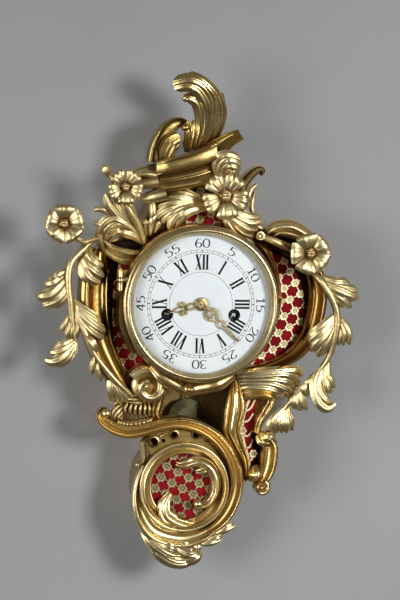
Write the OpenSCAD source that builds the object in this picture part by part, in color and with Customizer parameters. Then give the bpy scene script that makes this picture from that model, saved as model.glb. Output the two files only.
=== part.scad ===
// Rococo cartel clock: a gilt bronze wall clock with an enamel dial, a glazed bezel door,
// pierced panels over silk, and a brass striking movement with a short pendulum.
// X is to the right, Y goes into the wall and Z is up. The wall is the plane Y = 0, and the
// origin is the centre of the hanging hole. The modules are drawn about the dial's axis.

/* [Case] */
// Distance from the wall to the plane that the front castings sit on
front_plane = 56; // [50:0.5:70]
// Thickness of the sheet brass side wall
wall_t = 2.5; // [1.5:0.1:4]
// Thickness of the case's back plate
back_t = 2.5; // [1.5:0.1:4]
// Radius of the hanging hole
hang_r = 4; // [2.5:0.1:5.5]
// Height of the hanging hole above the dial's axis
hang_z = 100; // [92:0.5:108]
// Radius of the service opening behind the movement
service_r = 64; // [50:0.5:72]
// Projection of the main frame mouldings in front of the front plane
frame_h = 22; // [16:0.5:26]
// Thickness of the pierced trellis panels
trellis_t = 1.2; // [0.8:0.1:2]
// Thickness of the silk and its backing card
silk_t = 0.6; // [0.4:0.1:1.2]
// Distance between the flowers of a trellis
trellis_pitch = 14; // [11:0.5:18]
// Radius of a trellis flower
trellis_flower_r = 4.6; // [3:0.1:5.2]
// Width of a trellis bar
trellis_bar = 1.3; // [0.8:0.1:2.5]

/* [Dial and bezel] */
// Radius of the enamel dial
dial_r = 78; // [76:0.2:79]
// Thickness of the enamel dial
dial_t = 2; // [1.5:0.1:3]
// Distance from the wall to the dial's front face
dial_front = 88; // [86:0.2:90]
// Radius of the winding holes in the dial
winding_hole_r = 5.5; // [4.5:0.1:6.5]
// Radius of the hole for the hands in the dial
hand_hole_r = 5; // [4.8:0.1:7]
// Radial wall of the cast ring around the dial
ring_w = 5; // [4:0.1:6]
// How far the bezel laps over the dial's edge
bezel_lap = 1.6; // [0.8:0.1:3]
// Projection of the bezel in front of the dial ring
bezel_h = 12; // [9:0.2:16]
// Thickness of the bezel glass
glass_t = 1.8; // [1.2:0.1:2.5]
// Rise of the domed bezel glass
glass_rise = 9; // [5:0.5:12]
// Radius of the bezel's hinge pin
hinge_pin_r = 1.5; // [1:0.1:2]
// Length of one hinge knuckle
knuckle_l = 7; // [5:0.5:9]
// Height of the hinge's middle above the dial's axis
hinge_z = 26; // [18:1:34]

/* [Hands] */
// Length of the minute hand from its axis
minute_hand_l = 59; // [50:0.5:62]
// Length of the hour hand from its axis
hour_hand_l = 38; // [30:0.5:44]
// Thickness of each hand
hand_t = 0.7; // [0.5:0.1:0.9]
// Angle of the minute hand, clockwise from the top
minute_angle = 134; // [0:1:359]
// Angle of the hour hand, clockwise from the top
hour_angle = 256; // [0:1:359]

/* [Movement] */
// Radius of the movement plates
plate_r = 70; // [69:0.5:72]
// Thickness of each movement plate
plate_t = 2.5; // [2:0.1:3.5]
// Distance between the two movement plates
plate_gap = 43.5; // [43:0.1:46]
// Sideways distance of each winding arbor from the dial's axis
winding_x = 37.5; // [37:0.1:39]
// Distance of the winding arbors below the dial's axis
winding_drop = 12; // [10:0.2:14]
// Radius of the pillars between the plates
pillar_r = 3.5; // [2.5:0.1:4.5]
// Radius of the train arbors
arbor_r = 1.8; // [1.4:0.1:2.2]
// Radius of the pivots at the ends of the train arbors
pivot_r = 1; // [0.7:0.05:1.2]
// Radial running clearance of a pivot or pipe
run_gap = 0.05; // [0.02:0.01:0.1]
// Width across the flats of the winding squares
square_w = 4; // [3:0.1:4.6]
// Radius of the bell
bell_r = 24; // [20:0.5:26]
// Wall of the bell
bell_t = 1.4; // [1:0.1:2]

/* [Trains] */
// Teeth of the barrels' great wheels
great_teeth = 72; // [60:1:84]
// Leaves of the centre pinion
centre_leaves = 12; // [10:1:14]
// Teeth of the centre wheel
centre_teeth = 96; // [80:1:104]
// Leaves of the third and escape pinions
pinion_leaves = 8; // [7:1:10]
// Teeth of the third wheel
third_teeth = 88; // [72:1:96]
// Teeth of the escape wheel
escape_teeth = 30; // [24:1:36]
// Leaves of the cannon pinion
cannon_leaves = 12; // [10:1:14]
// Teeth of the minute wheel
minute_teeth = 36; // [30:1:42]
// Leaves of the minute wheel's pinion
minute_leaves = 10; // [8:1:12]
// Teeth of the hour wheel
hour_teeth = 40; // [36:1:48]
// Pins on the strike train's pin wheel
strike_pins = 10; // [8:1:12]
// Thickness of the train wheels
wheel_t = 1.6; // [1.2:0.1:2]

/* [Pendulum] */
// Height of the suspension above the dial's axis
suspension_z = 54; // [53:0.2:55]
// Distance from the suspension to the centre of the bob
pendulum_l = 190; // [180:1:196]
// Radius of the bob
bob_r = 21; // [16:0.5:23]
// Thickness of the bob
bob_t = 8; // [5:0.5:9]
// Radius of the pendulum rod
rod_r = 1.2; // [0.8:0.1:1.6]
// Distance from the wall to the pendulum's plane of swing
pendulum_y = 12; // [11:0.2:14]

/* [Hidden] */
$fn = 48;
eps = 0.01;

// Depths are distances in front of the wall.
silk_front = front_plane - trellis_t;
dial_back = dial_front - dial_t;
ring_front = dial_front + 2;
motion_gap = 10;
movement_front = dial_back - motion_gap;
front_plate_in = movement_front - plate_t;
back_plate_in = front_plate_in - plate_gap;
movement_back = back_plate_in - plate_t;

// The dial ring goes round the dial, and round the movement's plates with a shoulder for the false plate.
dial_gap = 2;
plate_clearance = 6;
shoulder = 4;
seat_in = plate_r + plate_clearance;
ring_in = max(dial_r + dial_gap, seat_in + shoulder);
ring_out = ring_in + ring_w;
false_plate_r = ring_in - 0.3;
false_plate_in = min(plate_r, dial_r - 2 * shoulder) - plate_clearance;

// The castings are drawn for a dial ring of 80 mm inside radius and a front plane at 56 mm. They grow with both.
fit = ring_in / 80;
deep = front_plane / 56;

// Seats of the train, as points of the dial's plane.
going_at = [winding_x, -winding_drop];
strike_at = [-winding_x, -winding_drop];
centre_at = [0, 0];
third_at = [24, 27];
escape_at = [0, suspension_z - 14];
pallet_at = [0, suspension_z];
minute_wheel_at = [0, -20];
great_reach = 36;
pin_wheel_at = strike_at + great_reach * [cos(75), sin(75)];
fly_at = pin_wheel_at + 23.5 * [cos(100), sin(100)];
hammer_at = [-54, 34];
bell_at = [-32, 34];
pillar_at = plate_r / 70 * [[24, 60], [-24, 60], [21, -60], [-21, -60]];
cock_z = 0.9 * plate_r;
false_screw_a = [45, 135, 225, 315];

function spread(a, b) = norm(b - a);
function bearing(a, b) = atan2(b[1] - a[1], b[0] - a[0]);
function gear_module(a, b, n1, n2) = 2 * spread(a, b) / (n1 + n2);

centre_m = gear_module(going_at, centre_at, great_teeth, centre_leaves);
third_m = gear_module(centre_at, third_at, centre_teeth, pinion_leaves);
escape_m = gear_module(third_at, escape_at, third_teeth, pinion_leaves);
minute_m = gear_module(centre_at, minute_wheel_at, cannon_leaves, minute_teeth);
hour_m = gear_module(minute_wheel_at, centre_at, minute_leaves, hour_teeth);
pin_m = gear_module(strike_at, pin_wheel_at, great_teeth, pinion_leaves);
fly_m = gear_module(pin_wheel_at, fly_at, great_teeth, pinion_leaves);

// The phase of a wheel that meshes with another one at a bearing a.
function meshed(phase, n1, n2, a) = a + 180 + ((a - phase) * n1 / 360 + 0.5) * 360 / n2;
centre_phase = meshed(0, great_teeth, centre_leaves, bearing(going_at, centre_at));
third_phase = meshed(0, centre_teeth, pinion_leaves, bearing(centre_at, third_at));
escape_phase = meshed(0, third_teeth, pinion_leaves, bearing(third_at, escape_at));
minute_phase = meshed(0, cannon_leaves, minute_teeth, bearing(centre_at, minute_wheel_at));
hour_phase = meshed(0, minute_leaves, hour_teeth, bearing(minute_wheel_at, centre_at));
pin_phase = meshed(0, great_teeth, pinion_leaves, bearing(strike_at, pin_wheel_at));
fly_phase = meshed(0, great_teeth, pinion_leaves, bearing(pin_wheel_at, fly_at));

// Levels of the train between the plates, as distances in front of the wall.
great_level = front_plate_in - 14;
barrel_back = back_plate_in + 11;
centre_level = front_plate_in - 5;
third_level = back_plate_in + 7;
escape_level = back_plate_in + 3.5;
pin_level = back_plate_in + 6;
cannon_level = movement_front + 2;
hour_level = movement_front + 5;
hour_hand_y = dial_front + 1.2;
minute_hand_y = dial_front + 2.8;

// Placing helpers: a flat drawing faces the viewer, with its back at a distance y from the wall.
module facing(y) translate([0, -y, 0]) rotate([90, 0, 0]) children();
module facing_at(p, y) translate([p[0], -y, p[1]]) rotate([90, 0, 0]) children();
module rod_at(p, y0, y1, r) facing_at(p, y0) cylinder(r = r, h = y1 - y0);
module hung() translate([0, 0, -hang_z]) children();

// Smooth curves through hand-chosen points.
function bend(a, b, c, d, t) = 0.5 * (2 * b + (c - a) * t + (2 * a - 5 * b + 4 * c - d) * t * t
    + (3 * b - a - 3 * c + d) * t * t * t);
function curve(p, n = 4) = [for (i = [0:len(p) - 2], k = [0:n - 1])
    bend(p[max(i - 1, 0)], p[i], p[i + 1], p[min(i + 2, len(p) - 1)], k / n), p[len(p) - 1]];
function loop(p, n = 4) = let (m = len(p)) [for (i = [0:m - 1], k = [0:n - 1])
    bend(p[(i + m - 1) % m], p[i], p[(i + 1) % m], p[(i + 2) % m], k / n)];
function unit(v) = v / norm(v);
function inset(p, d) = let (m = len(p)) [for (i = [0:m - 1])
    let (t = unit(p[(i + 1) % m] - p[(i + m - 1) % m])) p[i] + d * [t[1], -t[0]]];
function arc(r, a0, a1, n) = [for (i = [0:n]) r * [cos(a0 + (a1 - a0) * i / n), sin(a0 + (a1 - a0) * i / n)]];

// Closed skin over equal rings of points.
function skin_faces(rings, sides) = concat(
    [[for (k = [0:sides - 1]) k]],
    [for (i = [0:rings - 2], k = [0:sides - 1]) let (a = i * sides + k, b = i * sides + (k + 1) % sides)
        each [[a, a + sides, b], [b, a + sides, b + sides]]],
    [[for (k = [sides - 1:-1:0]) (rings - 1) * sides + k]]);
module skin(rings) polyhedron([for (r = rings) each r], skin_faces(len(rings), len(rings[0])), convexity = 8);

// A moulding with a flat back along a route of [x, z, width, projection], from a distance y.
moulding_section = [[-0.5, 0], [-0.5, 0.55], [-0.36, 0.8], [-0.2, 0.72], [0, 1], [0.22, 0.9], [0.5, 0.5], [0.5, 0]];
function slope(p, i) = unit([p[min(i + 1, len(p) - 1)][0] - p[max(i - 1, 0)][0],
    p[min(i + 1, len(p) - 1)][1] - p[max(i - 1, 0)][1]]);
module moulding(route, y = front_plane, n = 3) {
    p = curve([for (q = route) [fit * q[0], fit * q[1], fit * q[2], q[3]]], n);
    skin([for (i = [0:len(p) - 1]) let (t = slope(p, i))
        [for (s = moulding_section)
            [p[i][0] + s[0] * p[i][2] * t[1], -y - s[1] * p[i][3], p[i][1] - s[0] * p[i][2] * t[0]]]]);
}

// A stem or leaf blade along a route of [x, y, z, half width, half thickness].
module blade(route, sides = 6, n = 2) {
    p = curve([for (q = route) [fit * q[0], deep * q[1], fit * q[2], fit * q[3], fit * q[4]]], n);
    skin([for (i = [0:len(p) - 1]) let (
            a = p[max(i - 1, 0)], b = p[min(i + 1, len(p) - 1)],
            t = unit([b[0] - a[0], a[1] - b[1], b[2] - a[2]]),
            s = unit(cross([0, 1, 0], t)), d = cross(t, s))
        [for (k = [0:sides - 1]) let (c = cos(360 * k / sides), e = sin(360 * k / sides))
            [p[i][0], -p[i][1], p[i][2]] + p[i][3] * c * s + p[i][4] * e * d]]);
}

// A rounded leaf lobe from one point to another, half as thick as it is wide.
module lobe(p, q, r0, r1) hull() {
    translate([fit * p[0], -deep * p[1], fit * p[2]]) scale([1, 0.55, 1]) sphere(fit * r0, $fn = 5);
    translate([fit * q[0], -deep * q[1], fit * q[2]]) scale([1, 0.55, 1]) sphere(fit * r1, $fn = 5);
}

// A five-petalled flower with a raised boss.
module flower(p, r, turn = 0) {
    for (k = [0:4]) lobe([p[0] + 0.3 * r * cos(turn + 72 * k), p[1] - 2, p[2] + 0.3 * r * sin(turn + 72 * k)],
        [p[0] + 0.66 * r * cos(turn + 72 * k), p[1] + 1, p[2] + 0.66 * r * sin(turn + 72 * k)], 0.2 * r, 0.4 * r);
    lobe([p[0], p[1] - 3, p[2]], [p[0], p[1] + 3, p[2]], 0.3 * r, 0.22 * r);
}

// A toothed wheel drawn flat, with thin straight-sided teeth that leave backlash.
function tooth_ring(n, m, phase) = let (r = n * m / 2, a = 360 / n) [for (k = [0:n - 1])
    each [for (s = [[-0.27, -1.25], [-0.1, 0.85], [0.1, 0.85], [0.27, -1.25]])
        (r + s[1] * m) * [cos(phase + (k + s[0]) * a), sin(phase + (k + s[0]) * a)]]];
module toothed(n, m, phase, t) linear_extrude(t) polygon(tooth_ring(n, m, phase));

// Outline of the case, clockwise from the upper left, seen from the front.
case_points = [[-44, 122], [0, 132], [38, 118], [58, 94], [88, 76], [120, 56], [134, 28], [136, 0], [131, -24],
    [119, -48], [96, -68], [82, -84], [84, -104], [78, -126], [76, -146], [86, -168], [82, -190], [62, -204],
    [50, -226], [38, -247], [10, -261], [-28, -261], [-52, -245], [-62, -218], [-58, -188], [-46, -166], [-60, -150],
    [-78, -144], [-82, -130], [-78, -114], [-86, -98], [-104, -74], [-117, -44], [-122, -10], [-120, 28],
    [-108, 56], [-84, 74], [-62, 90], [-52, 106]];
case_outline = loop(fit * case_points);
lug_at = [for (i = [10, 20, 32, 52, 72, 84, 112, 128, 140]) inset(case_outline, wall_t + 2.5)[i]];
lug_r = 4.5;
screw_r = 1.6;
screw_head = 3.2;

// Windows of the pierced panels.
panel_r = ring_in + 3 * fit;
win_left = concat(fit * [[-60, 66], [-84, 58], [-104, 46], [-114, 24], [-115, 0], [-111, -28], [-102, -54], [-89, -76], [-70, -90]],
    arc(panel_r, 228, 136, 8));
win_right = concat(fit * [[60, 74], [92, 62], [116, 44], [130, 20], [131, 0], [127, -20], [118, -40], [104, -55], [86, -67], [62, -76]],
    arc(panel_r, -48, 48, 8));
win_top = concat(fit * [[-42, 108], [-30, 118], [0, 126], [26, 116], [44, 88]], arc(panel_r, 56, 122, 8));
win_lower = fit * [[44, -106], [56, -98], [76, -104], [71, -128], [68, -150], [72, -178], [64, -194], [56, -180], [47, -160], [41, -140], [40, -120]];
roundel_at = fit * [-10, -208];
roundel_in = 37 * fit;
roundel_out = 51 * fit;
win_roundel = [for (k = [0:35]) roundel_at + (roundel_in + 3 * fit) * [cos(-10 * k), sin(-10 * k)]];

// The back of the case: a sheet brass plate with the hanging hole and the service opening.
module case_back() color("#6b5236") difference() {
    facing(0) linear_extrude(back_t) polygon(case_outline);
    rod_at([0, 0], -1, back_t + 1, service_r);
    rod_at([0, hang_z], -1, back_t + 1, hang_r);
    for (p = lug_at) {
        rod_at(p, -1, back_t + 1, screw_r);
        facing_at(p, 0) cylinder(r1 = screw_head, r2 = screw_r, h = 1.8);
    }
}

// Countersunk screws that hold the back plate to the lugs of the side wall.
module back_screws() for (p = lug_at) {
    rod_at(p, 1.8, back_t + 6, screw_r);
    facing_at(p, 0) cylinder(r1 = screw_head, r2 = screw_r, h = 1.8);
}

module screws() color("#8f8f94") {
    back_screws();
    false_plate_screws();
}

// The side wall of the case, bent from sheet brass, with lugs for the back plate's screws.
module case_band() color("#b08a45") difference() {
    union() {
        facing(back_t) linear_extrude(front_plane - back_t) difference() {
            polygon(case_outline);
            polygon(inset(case_outline, wall_t));
        }
        for (p = lug_at) rod_at(p, back_t, back_t + 8, lug_r);
    }
    for (p = lug_at) rod_at(p, back_t - 1, back_t + 6, screw_r);
}

// The cast ring around the dial, with the shoulder that carries the false plate.
module dial_ring() color("#c49a4e") {
    ring_casting();
    bezel_catch();
}
module ring_casting() difference() {
    rod_at([0, 0], front_plane, ring_front, ring_out);
    rod_at([0, 0], front_plane - 1, movement_front, seat_in);
    rod_at([0, 0], movement_front - eps, ring_front + 1, ring_in);
    for (a = false_screw_a) rod_at((seat_in + 1.9) * [cos(a), sin(a)], movement_front - 6, movement_front + 1, 1.2);
}

// Pierced panels: a diagonal trellis with a flower on each crossing and a rim under the castings.
module trellis(win, at, turn, reach) facing(silk_front) linear_extrude(trellis_t) {
    difference() {
        polygon(win);
        polygon(inset(win, 3));
    }
    intersection() {
        polygon(inset(win, 1.5));
        translate(fit * at) rotate(turn) union() {
            for (i = [-reach:reach]) {
                translate([i * trellis_pitch - trellis_bar / 2, -reach * trellis_pitch])
                    square([trellis_bar, 2 * reach * trellis_pitch]);
                translate([-reach * trellis_pitch, i * trellis_pitch - trellis_bar / 2])
                    square([2 * reach * trellis_pitch, trellis_bar]);
            }
            for (i = [-reach:reach], j = [-reach:reach])
                translate([i, j] * trellis_pitch) circle(trellis_flower_r);
        }
    }
}
module trellis_left() color("#d8b765") trellis(win_left, [-96, -12], 27.5, 8);
module trellis_right() color("#d8b765") trellis(win_right, [107, 3], 27.5, 8);
module trellis_roundel() color("#d8b765") trellis(win_roundel, [-3, -199.5], -28, 4);
module trellis_small() color("#d8b765") {
    trellis(win_top, [-4, 104], 27.5, 5);
    trellis(win_lower, [58, -136], 27.5, 5);
}

// Silk stretched over card behind each pierced panel.
module silk_panel(win) color("#8e1522") facing(silk_front - silk_t) linear_extrude(silk_t) polygon(inset(win, 0.5));
module silk_panels() for (w = [win_left, win_right, win_top, win_roundel, win_lower]) silk_panel(w);

// Front castings. Each one has a flat back on the front plane.
gilt = "#d9b25f";
module left_frame() color(gilt) moulding([[-112, 58, 10, 0.6 * frame_h], [-117, 34, 27, 0.95 * frame_h], [-119, 6, 30, frame_h],
    [-117, -22, 29, frame_h], [-110, -48, 26, frame_h], [-98, -73, 22, 0.95 * frame_h], [-85, -91, 17, 0.8 * frame_h], [-76, -101, 9, 0.5 * frame_h]]);
module right_frame() color(gilt) moulding([[66, 74, 7, 0.5 * frame_h], [88, 65, 12, 0.75 * frame_h], [110, 55, 15, 0.9 * frame_h],
    [128, 38, 17, frame_h], [135, 14, 17, frame_h], [134, -8, 17, frame_h], [128, -32, 17, frame_h], [116, -52, 16, frame_h],
    [99, -66, 14, 0.9 * frame_h], [77, -74, 12, 0.8 * frame_h], [58, -77, 8, 0.6 * frame_h]]);
module right_arch() color(gilt) moulding([[80, 75, 5, 10], [82, 84, 8, 14], [94, 88, 11, 18], [110, 85, 12, 18], [123, 76, 11, 17],
    [133, 60, 10, 15], [137, 44, 7, 10]]);
module left_volute() color(gilt) {
    moulding([for (i = [0:28]) let (t = i / 28, a = 133 - 470 * t, r = 21 - 15.5 * t)
        [-61 + r * cos(a), -92 + r * sin(a), 9 - 5.4 * t, 16 + 4 * t]], n = 1);
    moulding([[-41, -86, 5, 12], [-39, -98, 8, 16], [-41, -112, 9, 17], [-43, -124, 8, 16], [-38, -133, 5, 12]]);
}
module lower_band() color(gilt) moulding([[-98, -121, 4, 8], [-104, -122, 6, 12], [-105, -131, 8, 15], [-95, -140, 11, 18], [-77, -146, 12, 20],
    [-58, -144, 13, 20], [-36, -138, 13, 20], [-15, -136, 13, 20], [6, -141, 13, 20], [24, -152, 13, 20], [38, -168, 12, 20],
    [48, -186, 11, 20], [52, -206, 11, 20], [49, -226, 10, 19], [42, -243, 8, 16], [32, -257, 5, 10]]);
module lower_frame() color(gilt) {
    moulding([[49, -82, 6, 10], [43, -95, 11, 16], [39, -111, 13, 20], [38, -128, 13, 20], [43, -146, 13, 20], [52, -164, 12, 20],
        [60, -182, 10, 18], [63, -198, 6, 12]]);
    moulding([[46, -96, 6, 11], [60, -95, 11, 16], [76, -96, 12, 18], [86, -104, 11, 18], [81, -116, 9, 17], [75, -130, 8, 17], [74, -146, 7, 14]]);
}
module lower_leg() color(gilt) moulding([[70, -146, 8, 12], [80, -152, 11, 16], [86, -166, 13, 19], [88, -180, 12, 19], [84, -194, 10, 17],
    [77, -205, 8, 14], [69, -208, 6, 10]]);
module roundel_ring() color(gilt) facing_at(roundel_at, front_plane) rotate_extrude()
    polygon([for (q = [[0, 0], [0, 7], [2, 10], [4, 9], [6, 14], [8.5, 15], [11, 12], [14, 13], [14, 0]])
        [roundel_in + q[0] / 14 * (roundel_out - roundel_in), q[1]]]);
module roundel_scroll() color(gilt) {
    moulding([[6, -178, 5, 8], [20, -184, 8, 12], [28, -198, 8, 14], [28, -214, 8, 14], [21, -226, 7, 13], [12, -230, 6, 12], [6, -227, 5, 10]], front_plane + 3);
    moulding([[-26, -219, 4, 7], [-32, -229, 7, 11], [-33, -240, 8, 13], [-22, -249, 8, 13], [-6, -252, 6, 10]], front_plane + 3);
}
module roundel_leaf() color(gilt) {
    moulding([[-55, -184, 5, 8], [-62, -200, 7, 12], [-65, -220, 9, 14], [-61, -241, 10, 16], [-48, -259, 10, 16], [-30, -271, 8, 14], [-12, -275, 6, 10]]);
    blade([[-52, 64, -262, 3, 3], [-42, 68, -272, 7, 5], [-28, 72, -282, 9, 6], [-12, 74, -287, 8, 6], [0, 72, -281, 6, 5], [6, 68, -270, 3, 3]]);
    for (q = [[[0, 63, -255], [10, 68, -282], 5, 2], [[6, 63, -253], [22, 68, -275], 5, 2], [[14, 63, -249], [34, 70, -268], 5, 2.5],
        [[22, 63, -244], [40, 70, -262], 5, 2], [[30, 63, -236], [49, 70, -252], 5, 2], [[-40, 66, -266], [-46, 70, -272], 5, 3],
        [[-30, 68, -274], [-34, 74, -284], 5, 3], [[-16, 70, -280], [-16, 76, -291], 5, 3]])
        lobe(q[0], q[1], q[2], q[3]);
}
module left_shell() color(gilt) {
    moulding([[-49, -150, 4, 10], [-57, -158, 6, 12], [-56, -170, 6, 13], [-57, -179, 5, 12], [-64, -182, 4, 10]], front_plane + 0.5);
    for (i = [0:6]) lobe([-80 + 5.8 * i, 60, -112 - i], [-84 + 6.6 * i, 66, -128 - 0.7 * i], 4.2, 3.8);
    for (i = [0:5]) lobe([-84 + 6.6 * i, 62, -127], [-78 + 6.6 * i, 60, -140], 3.4, 3);
    lobe([-90, 62, -104], [-92, 66, -112], 5, 4);
    lobe([-84, 62, -98], [-98, 66, -112], 6, 3);
}
module gallery() color(gilt) difference() {
    facing(front_plane) linear_extrude(6) polygon(curve(fit * [[-56, -150], [-30, -143], [-8, -140], [14, -148], [32, -162], [44, -182],
        [30, -178], [12, -164], [-10, -160], [-30, -164], [-44, -174], [-52, -164], [-56, -150]]));
    for (h = [[-45, -157, 4.6], [-22, -149, 3.6], [3, -149, 3.6], [-34, -156, 2.2], [15, -156, 2.2]])
        rod_at(fit * [h[0], h[1]], front_plane - 1, front_plane + 7, fit * h[2]);
}
module lower_bracket() color(gilt) moulding([[-42, -84, 5, 12], [-30, -87, 7, 16], [-18, -91, 8, 18], [-9, -95, 8, 18], [0, -92, 8, 18], [18, -89, 8, 17],
    [34, -88, 7, 14], [46, -86, 5, 10]], front_plane + 2);
module right_wing() color(gilt) {
    for (rib = [[[48, -82], [70, -82], [96, -80], [118, -77], [121, -82]], [[48, -86], [70, -89], [94, -91], [113, -90], [116, -94]],
        [[48, -90], [68, -95], [90, -101], [105, -104], [108, -108]]])
        for (k = [0:3]) lobe([rib[k][0], 63, rib[k][1]], [rib[k + 1][0], k < 3 ? 65 : 61, rib[k + 1][1]], [3, 4.6, 5.4, 5][k], [4.6, 5.4, 5, 3][k]);
}

// The crest: a slanting cornice with its returns, an arched leaf and a plume.
module cornice() color(gilt) {
    moulding([[-56, 146, 14, 24], [-40, 148, 16, 34], [-18, 153, 17, 36], [2, 162, 16, 36], [15, 167, 15, 30]]);
    moulding([[-52, 131, 10, 18], [-36, 132, 17, 24], [-14, 136, 20, 26], [6, 144, 22, 26], [15, 147, 20, 22]]);
    moulding([[-74, 141, 5, 12], [-64, 146, 9, 18], [-52, 146, 11, 22]]);
    moulding([[12, 163, 12, 22], [20, 173, 14, 20], [31, 182, 12, 16], [42, 187, 7, 10]]);
    for (q = [[[-62, 60, 128], [-50, 66, 130], 4.5, 5], [[-62, 60, 118], [-44, 66, 124], 4.5, 6], [[-56, 62, 114], [-54, 62, 92], 4, 5],
        [[-54, 62, 92], [-52, 60, 86], 5, 4], [[-66, 62, 144], [-60, 62, 132], 4, 4], [[-44, 64, 124], [-10, 64, 126], 5, 5],
        [[-10, 64, 126], [12, 64, 136], 5, 5], [[-50, 66, 130], [-44, 66, 124], 5, 5]]) lobe(q[0], q[1], q[2], q[3]);
}
module plume() color(gilt) {
    blade([[-4, 66, 162, 8, 6], [2, 70, 178, 10, 7], [8, 74, 196, 13, 7], [9, 78, 212, 14, 7], [3, 83, 228, 14, 7], [-10, 88, 240, 11, 6], [-30, 90, 241, 4, 3]]);
    for (q = [[[0, 76, 215], [-20, 82, 221], 7, 2.5], [[2, 78, 222], [-14, 84, 226], 7, 4], [[10, 76, 222], [19, 80, 230], 8, 3], [[12, 76, 208], [21, 78, 212], 8, 4],
        [[8, 72, 192], [18, 74, 194], 7, 4], [[0, 82, 236], [-4, 86, 246], 7, 4], [[-12, 86, 240], [-14, 90, 248], 6, 4], [[-20, 88, 241], [-33, 90, 239], 5, 2]])
        lobe(q[0], q[1], q[2], q[3]);
}
module arch_leaf() color(gilt) {
    moulding([[-55, 150, 8, 12], [-55, 166, 10, 15], [-51, 180, 11, 16], [-43, 190, 11, 16], [-30, 197, 10, 15], [-19, 194, 9, 14], [-17, 182, 7, 12],
        [-15, 170, 6, 12], [-12, 163, 5, 10]], front_plane + 4);
    for (q = [[[-50, 66, 160], [-40, 68, 160], 6, 4], [[-48, 66, 172], [-32, 70, 172], 6, 4], [[-44, 66, 182], [-28, 70, 182], 6, 4], [[-36, 66, 192], [-24, 70, 190], 6, 4],
        [[-24, 66, 196], [-12, 70, 200], 5, 3], [[-50, 64, 152], [-38, 66, 156], 6, 5], [[-34, 66, 198], [-26, 70, 201], 4, 2.5], [[-18, 64, 176], [-14, 68, 172], 4, 4]])
        lobe(q[0], q[1], q[2], q[3]);
}

// Flower sprays with their leaves and scrolls on both sides of the crest.
module left_top_spray() color(gilt) {
    flower([-85, 92, 126], 18, 20);
    blade([[-60, 64, 66, 4, 3], [-70, 70, 86, 5, 4], [-78, 76, 98, 4, 4], [-85, 84, 112, 3, 3], [-85, 90, 124, 3, 3]]);
    blade([[-79, 80, 106, 2.5, 2.5], [-94, 86, 122, 2.5, 2.5], [-104, 88, 140, 3, 3]]);
    for (q = [[[-103, 88, 138], [-107, 90, 144], 5, 4], [[-92, 80, 112], [-106, 84, 118], 5, 3], [[-82, 76, 100], [-92, 80, 106], 5, 3],
        [[-72, 72, 90], [-70, 76, 104], 4, 3], [[-66, 68, 78], [-60, 72, 92], 5, 4], [[-62, 66, 68], [-54, 68, 78], 5, 4]]) lobe(q[0], q[1], q[2], q[3]);
}
module left_top_scroll() color(gilt) {
    moulding([[-106, 64, 6, 12], [-98, 58, 12, 17], [-84, 54, 14, 19], [-70, 55, 13, 18], [-60, 62, 8, 12]]);
    moulding([[-112, 60, 6, 10], [-112, 76, 9, 14], [-105, 86, 10, 16], [-94, 89, 10, 16], [-82, 83, 10, 15], [-70, 73, 9, 14], [-60, 64, 6, 10]], front_plane + 4);
    for (q = [[[-102, 66, 90], [-104, 70, 99], 5, 4], [[-104, 70, 99], [-112, 72, 104], 4, 3], [[-112, 72, 104], [-119, 72, 101], 3, 2], [[-110, 66, 76], [-118, 70, 86], 5, 2.5],
        [[-76, 66, 72], [-88, 70, 76], 6, 3], [[-66, 64, 66], [-78, 70, 72], 6, 5], [[-98, 66, 92], [-90, 72, 93], 5, 4], [[-84, 66, 86], [-76, 70, 84], 5, 4]])
        lobe(q[0], q[1], q[2], q[3]);
}
module centre_leaf() color(gilt) {
    blade([[22, 64, 104, 4, 4], [4, 72, 104, 10, 5], [-14, 76, 104, 14, 6], [-32, 76, 98, 13, 6], [-46, 72, 90, 6, 4]]);
    for (q = [[[-6, 74, 104], [-22, 76, 114], 7, 4], [[-18, 76, 104], [-38, 76, 114], 8, 4], [[-28, 76, 100], [-52, 74, 106], 8, 3], [[-30, 76, 98], [-52, 72, 96], 7, 3],
        [[-24, 76, 98], [-40, 74, 82], 8, 4], [[-12, 76, 98], [-28, 74, 84], 8, 4], [[0, 74, 100], [-12, 74, 90], 7, 4], [[12, 68, 102], [2, 70, 94], 5, 3]])
        lobe(q[0], q[1], q[2], q[3]);
}
module right_top_spray() color(gilt) {
    flower([25, 92, 119], 20, 14);
    blade([[58, 64, 84, 5, 4], [46, 70, 94, 8, 5], [34, 76, 106, 6, 4], [26, 84, 116, 4, 4]]);
    moulding([[69, 146, 5, 10], [60, 149, 7, 13], [50, 142, 9, 15], [45, 128, 9, 16], [46, 112, 9, 16], [54, 98, 7, 14]]);
    for (q = [[[34, 82, 138], [30, 90, 124], 8, 5], [[46, 70, 114], [57, 66, 118], 6, 5], [[36, 80, 136], [30, 86, 152], 8, 6], [[36, 80, 138], [42, 86, 154], 8, 6], [[30, 86, 152], [42, 86, 156], 6, 5], [[50, 68, 96], [66, 72, 94], 7, 3],
        [[56, 66, 86], [66, 70, 84], 6, 3], [[54, 66, 88], [60, 68, 72], 6, 3], [[44, 70, 96], [42, 72, 84], 7, 4], [[56, 64, 132], [58, 66, 104], 4, 4]])
        lobe(q[0], q[1], q[2], q[3]);
}

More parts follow.
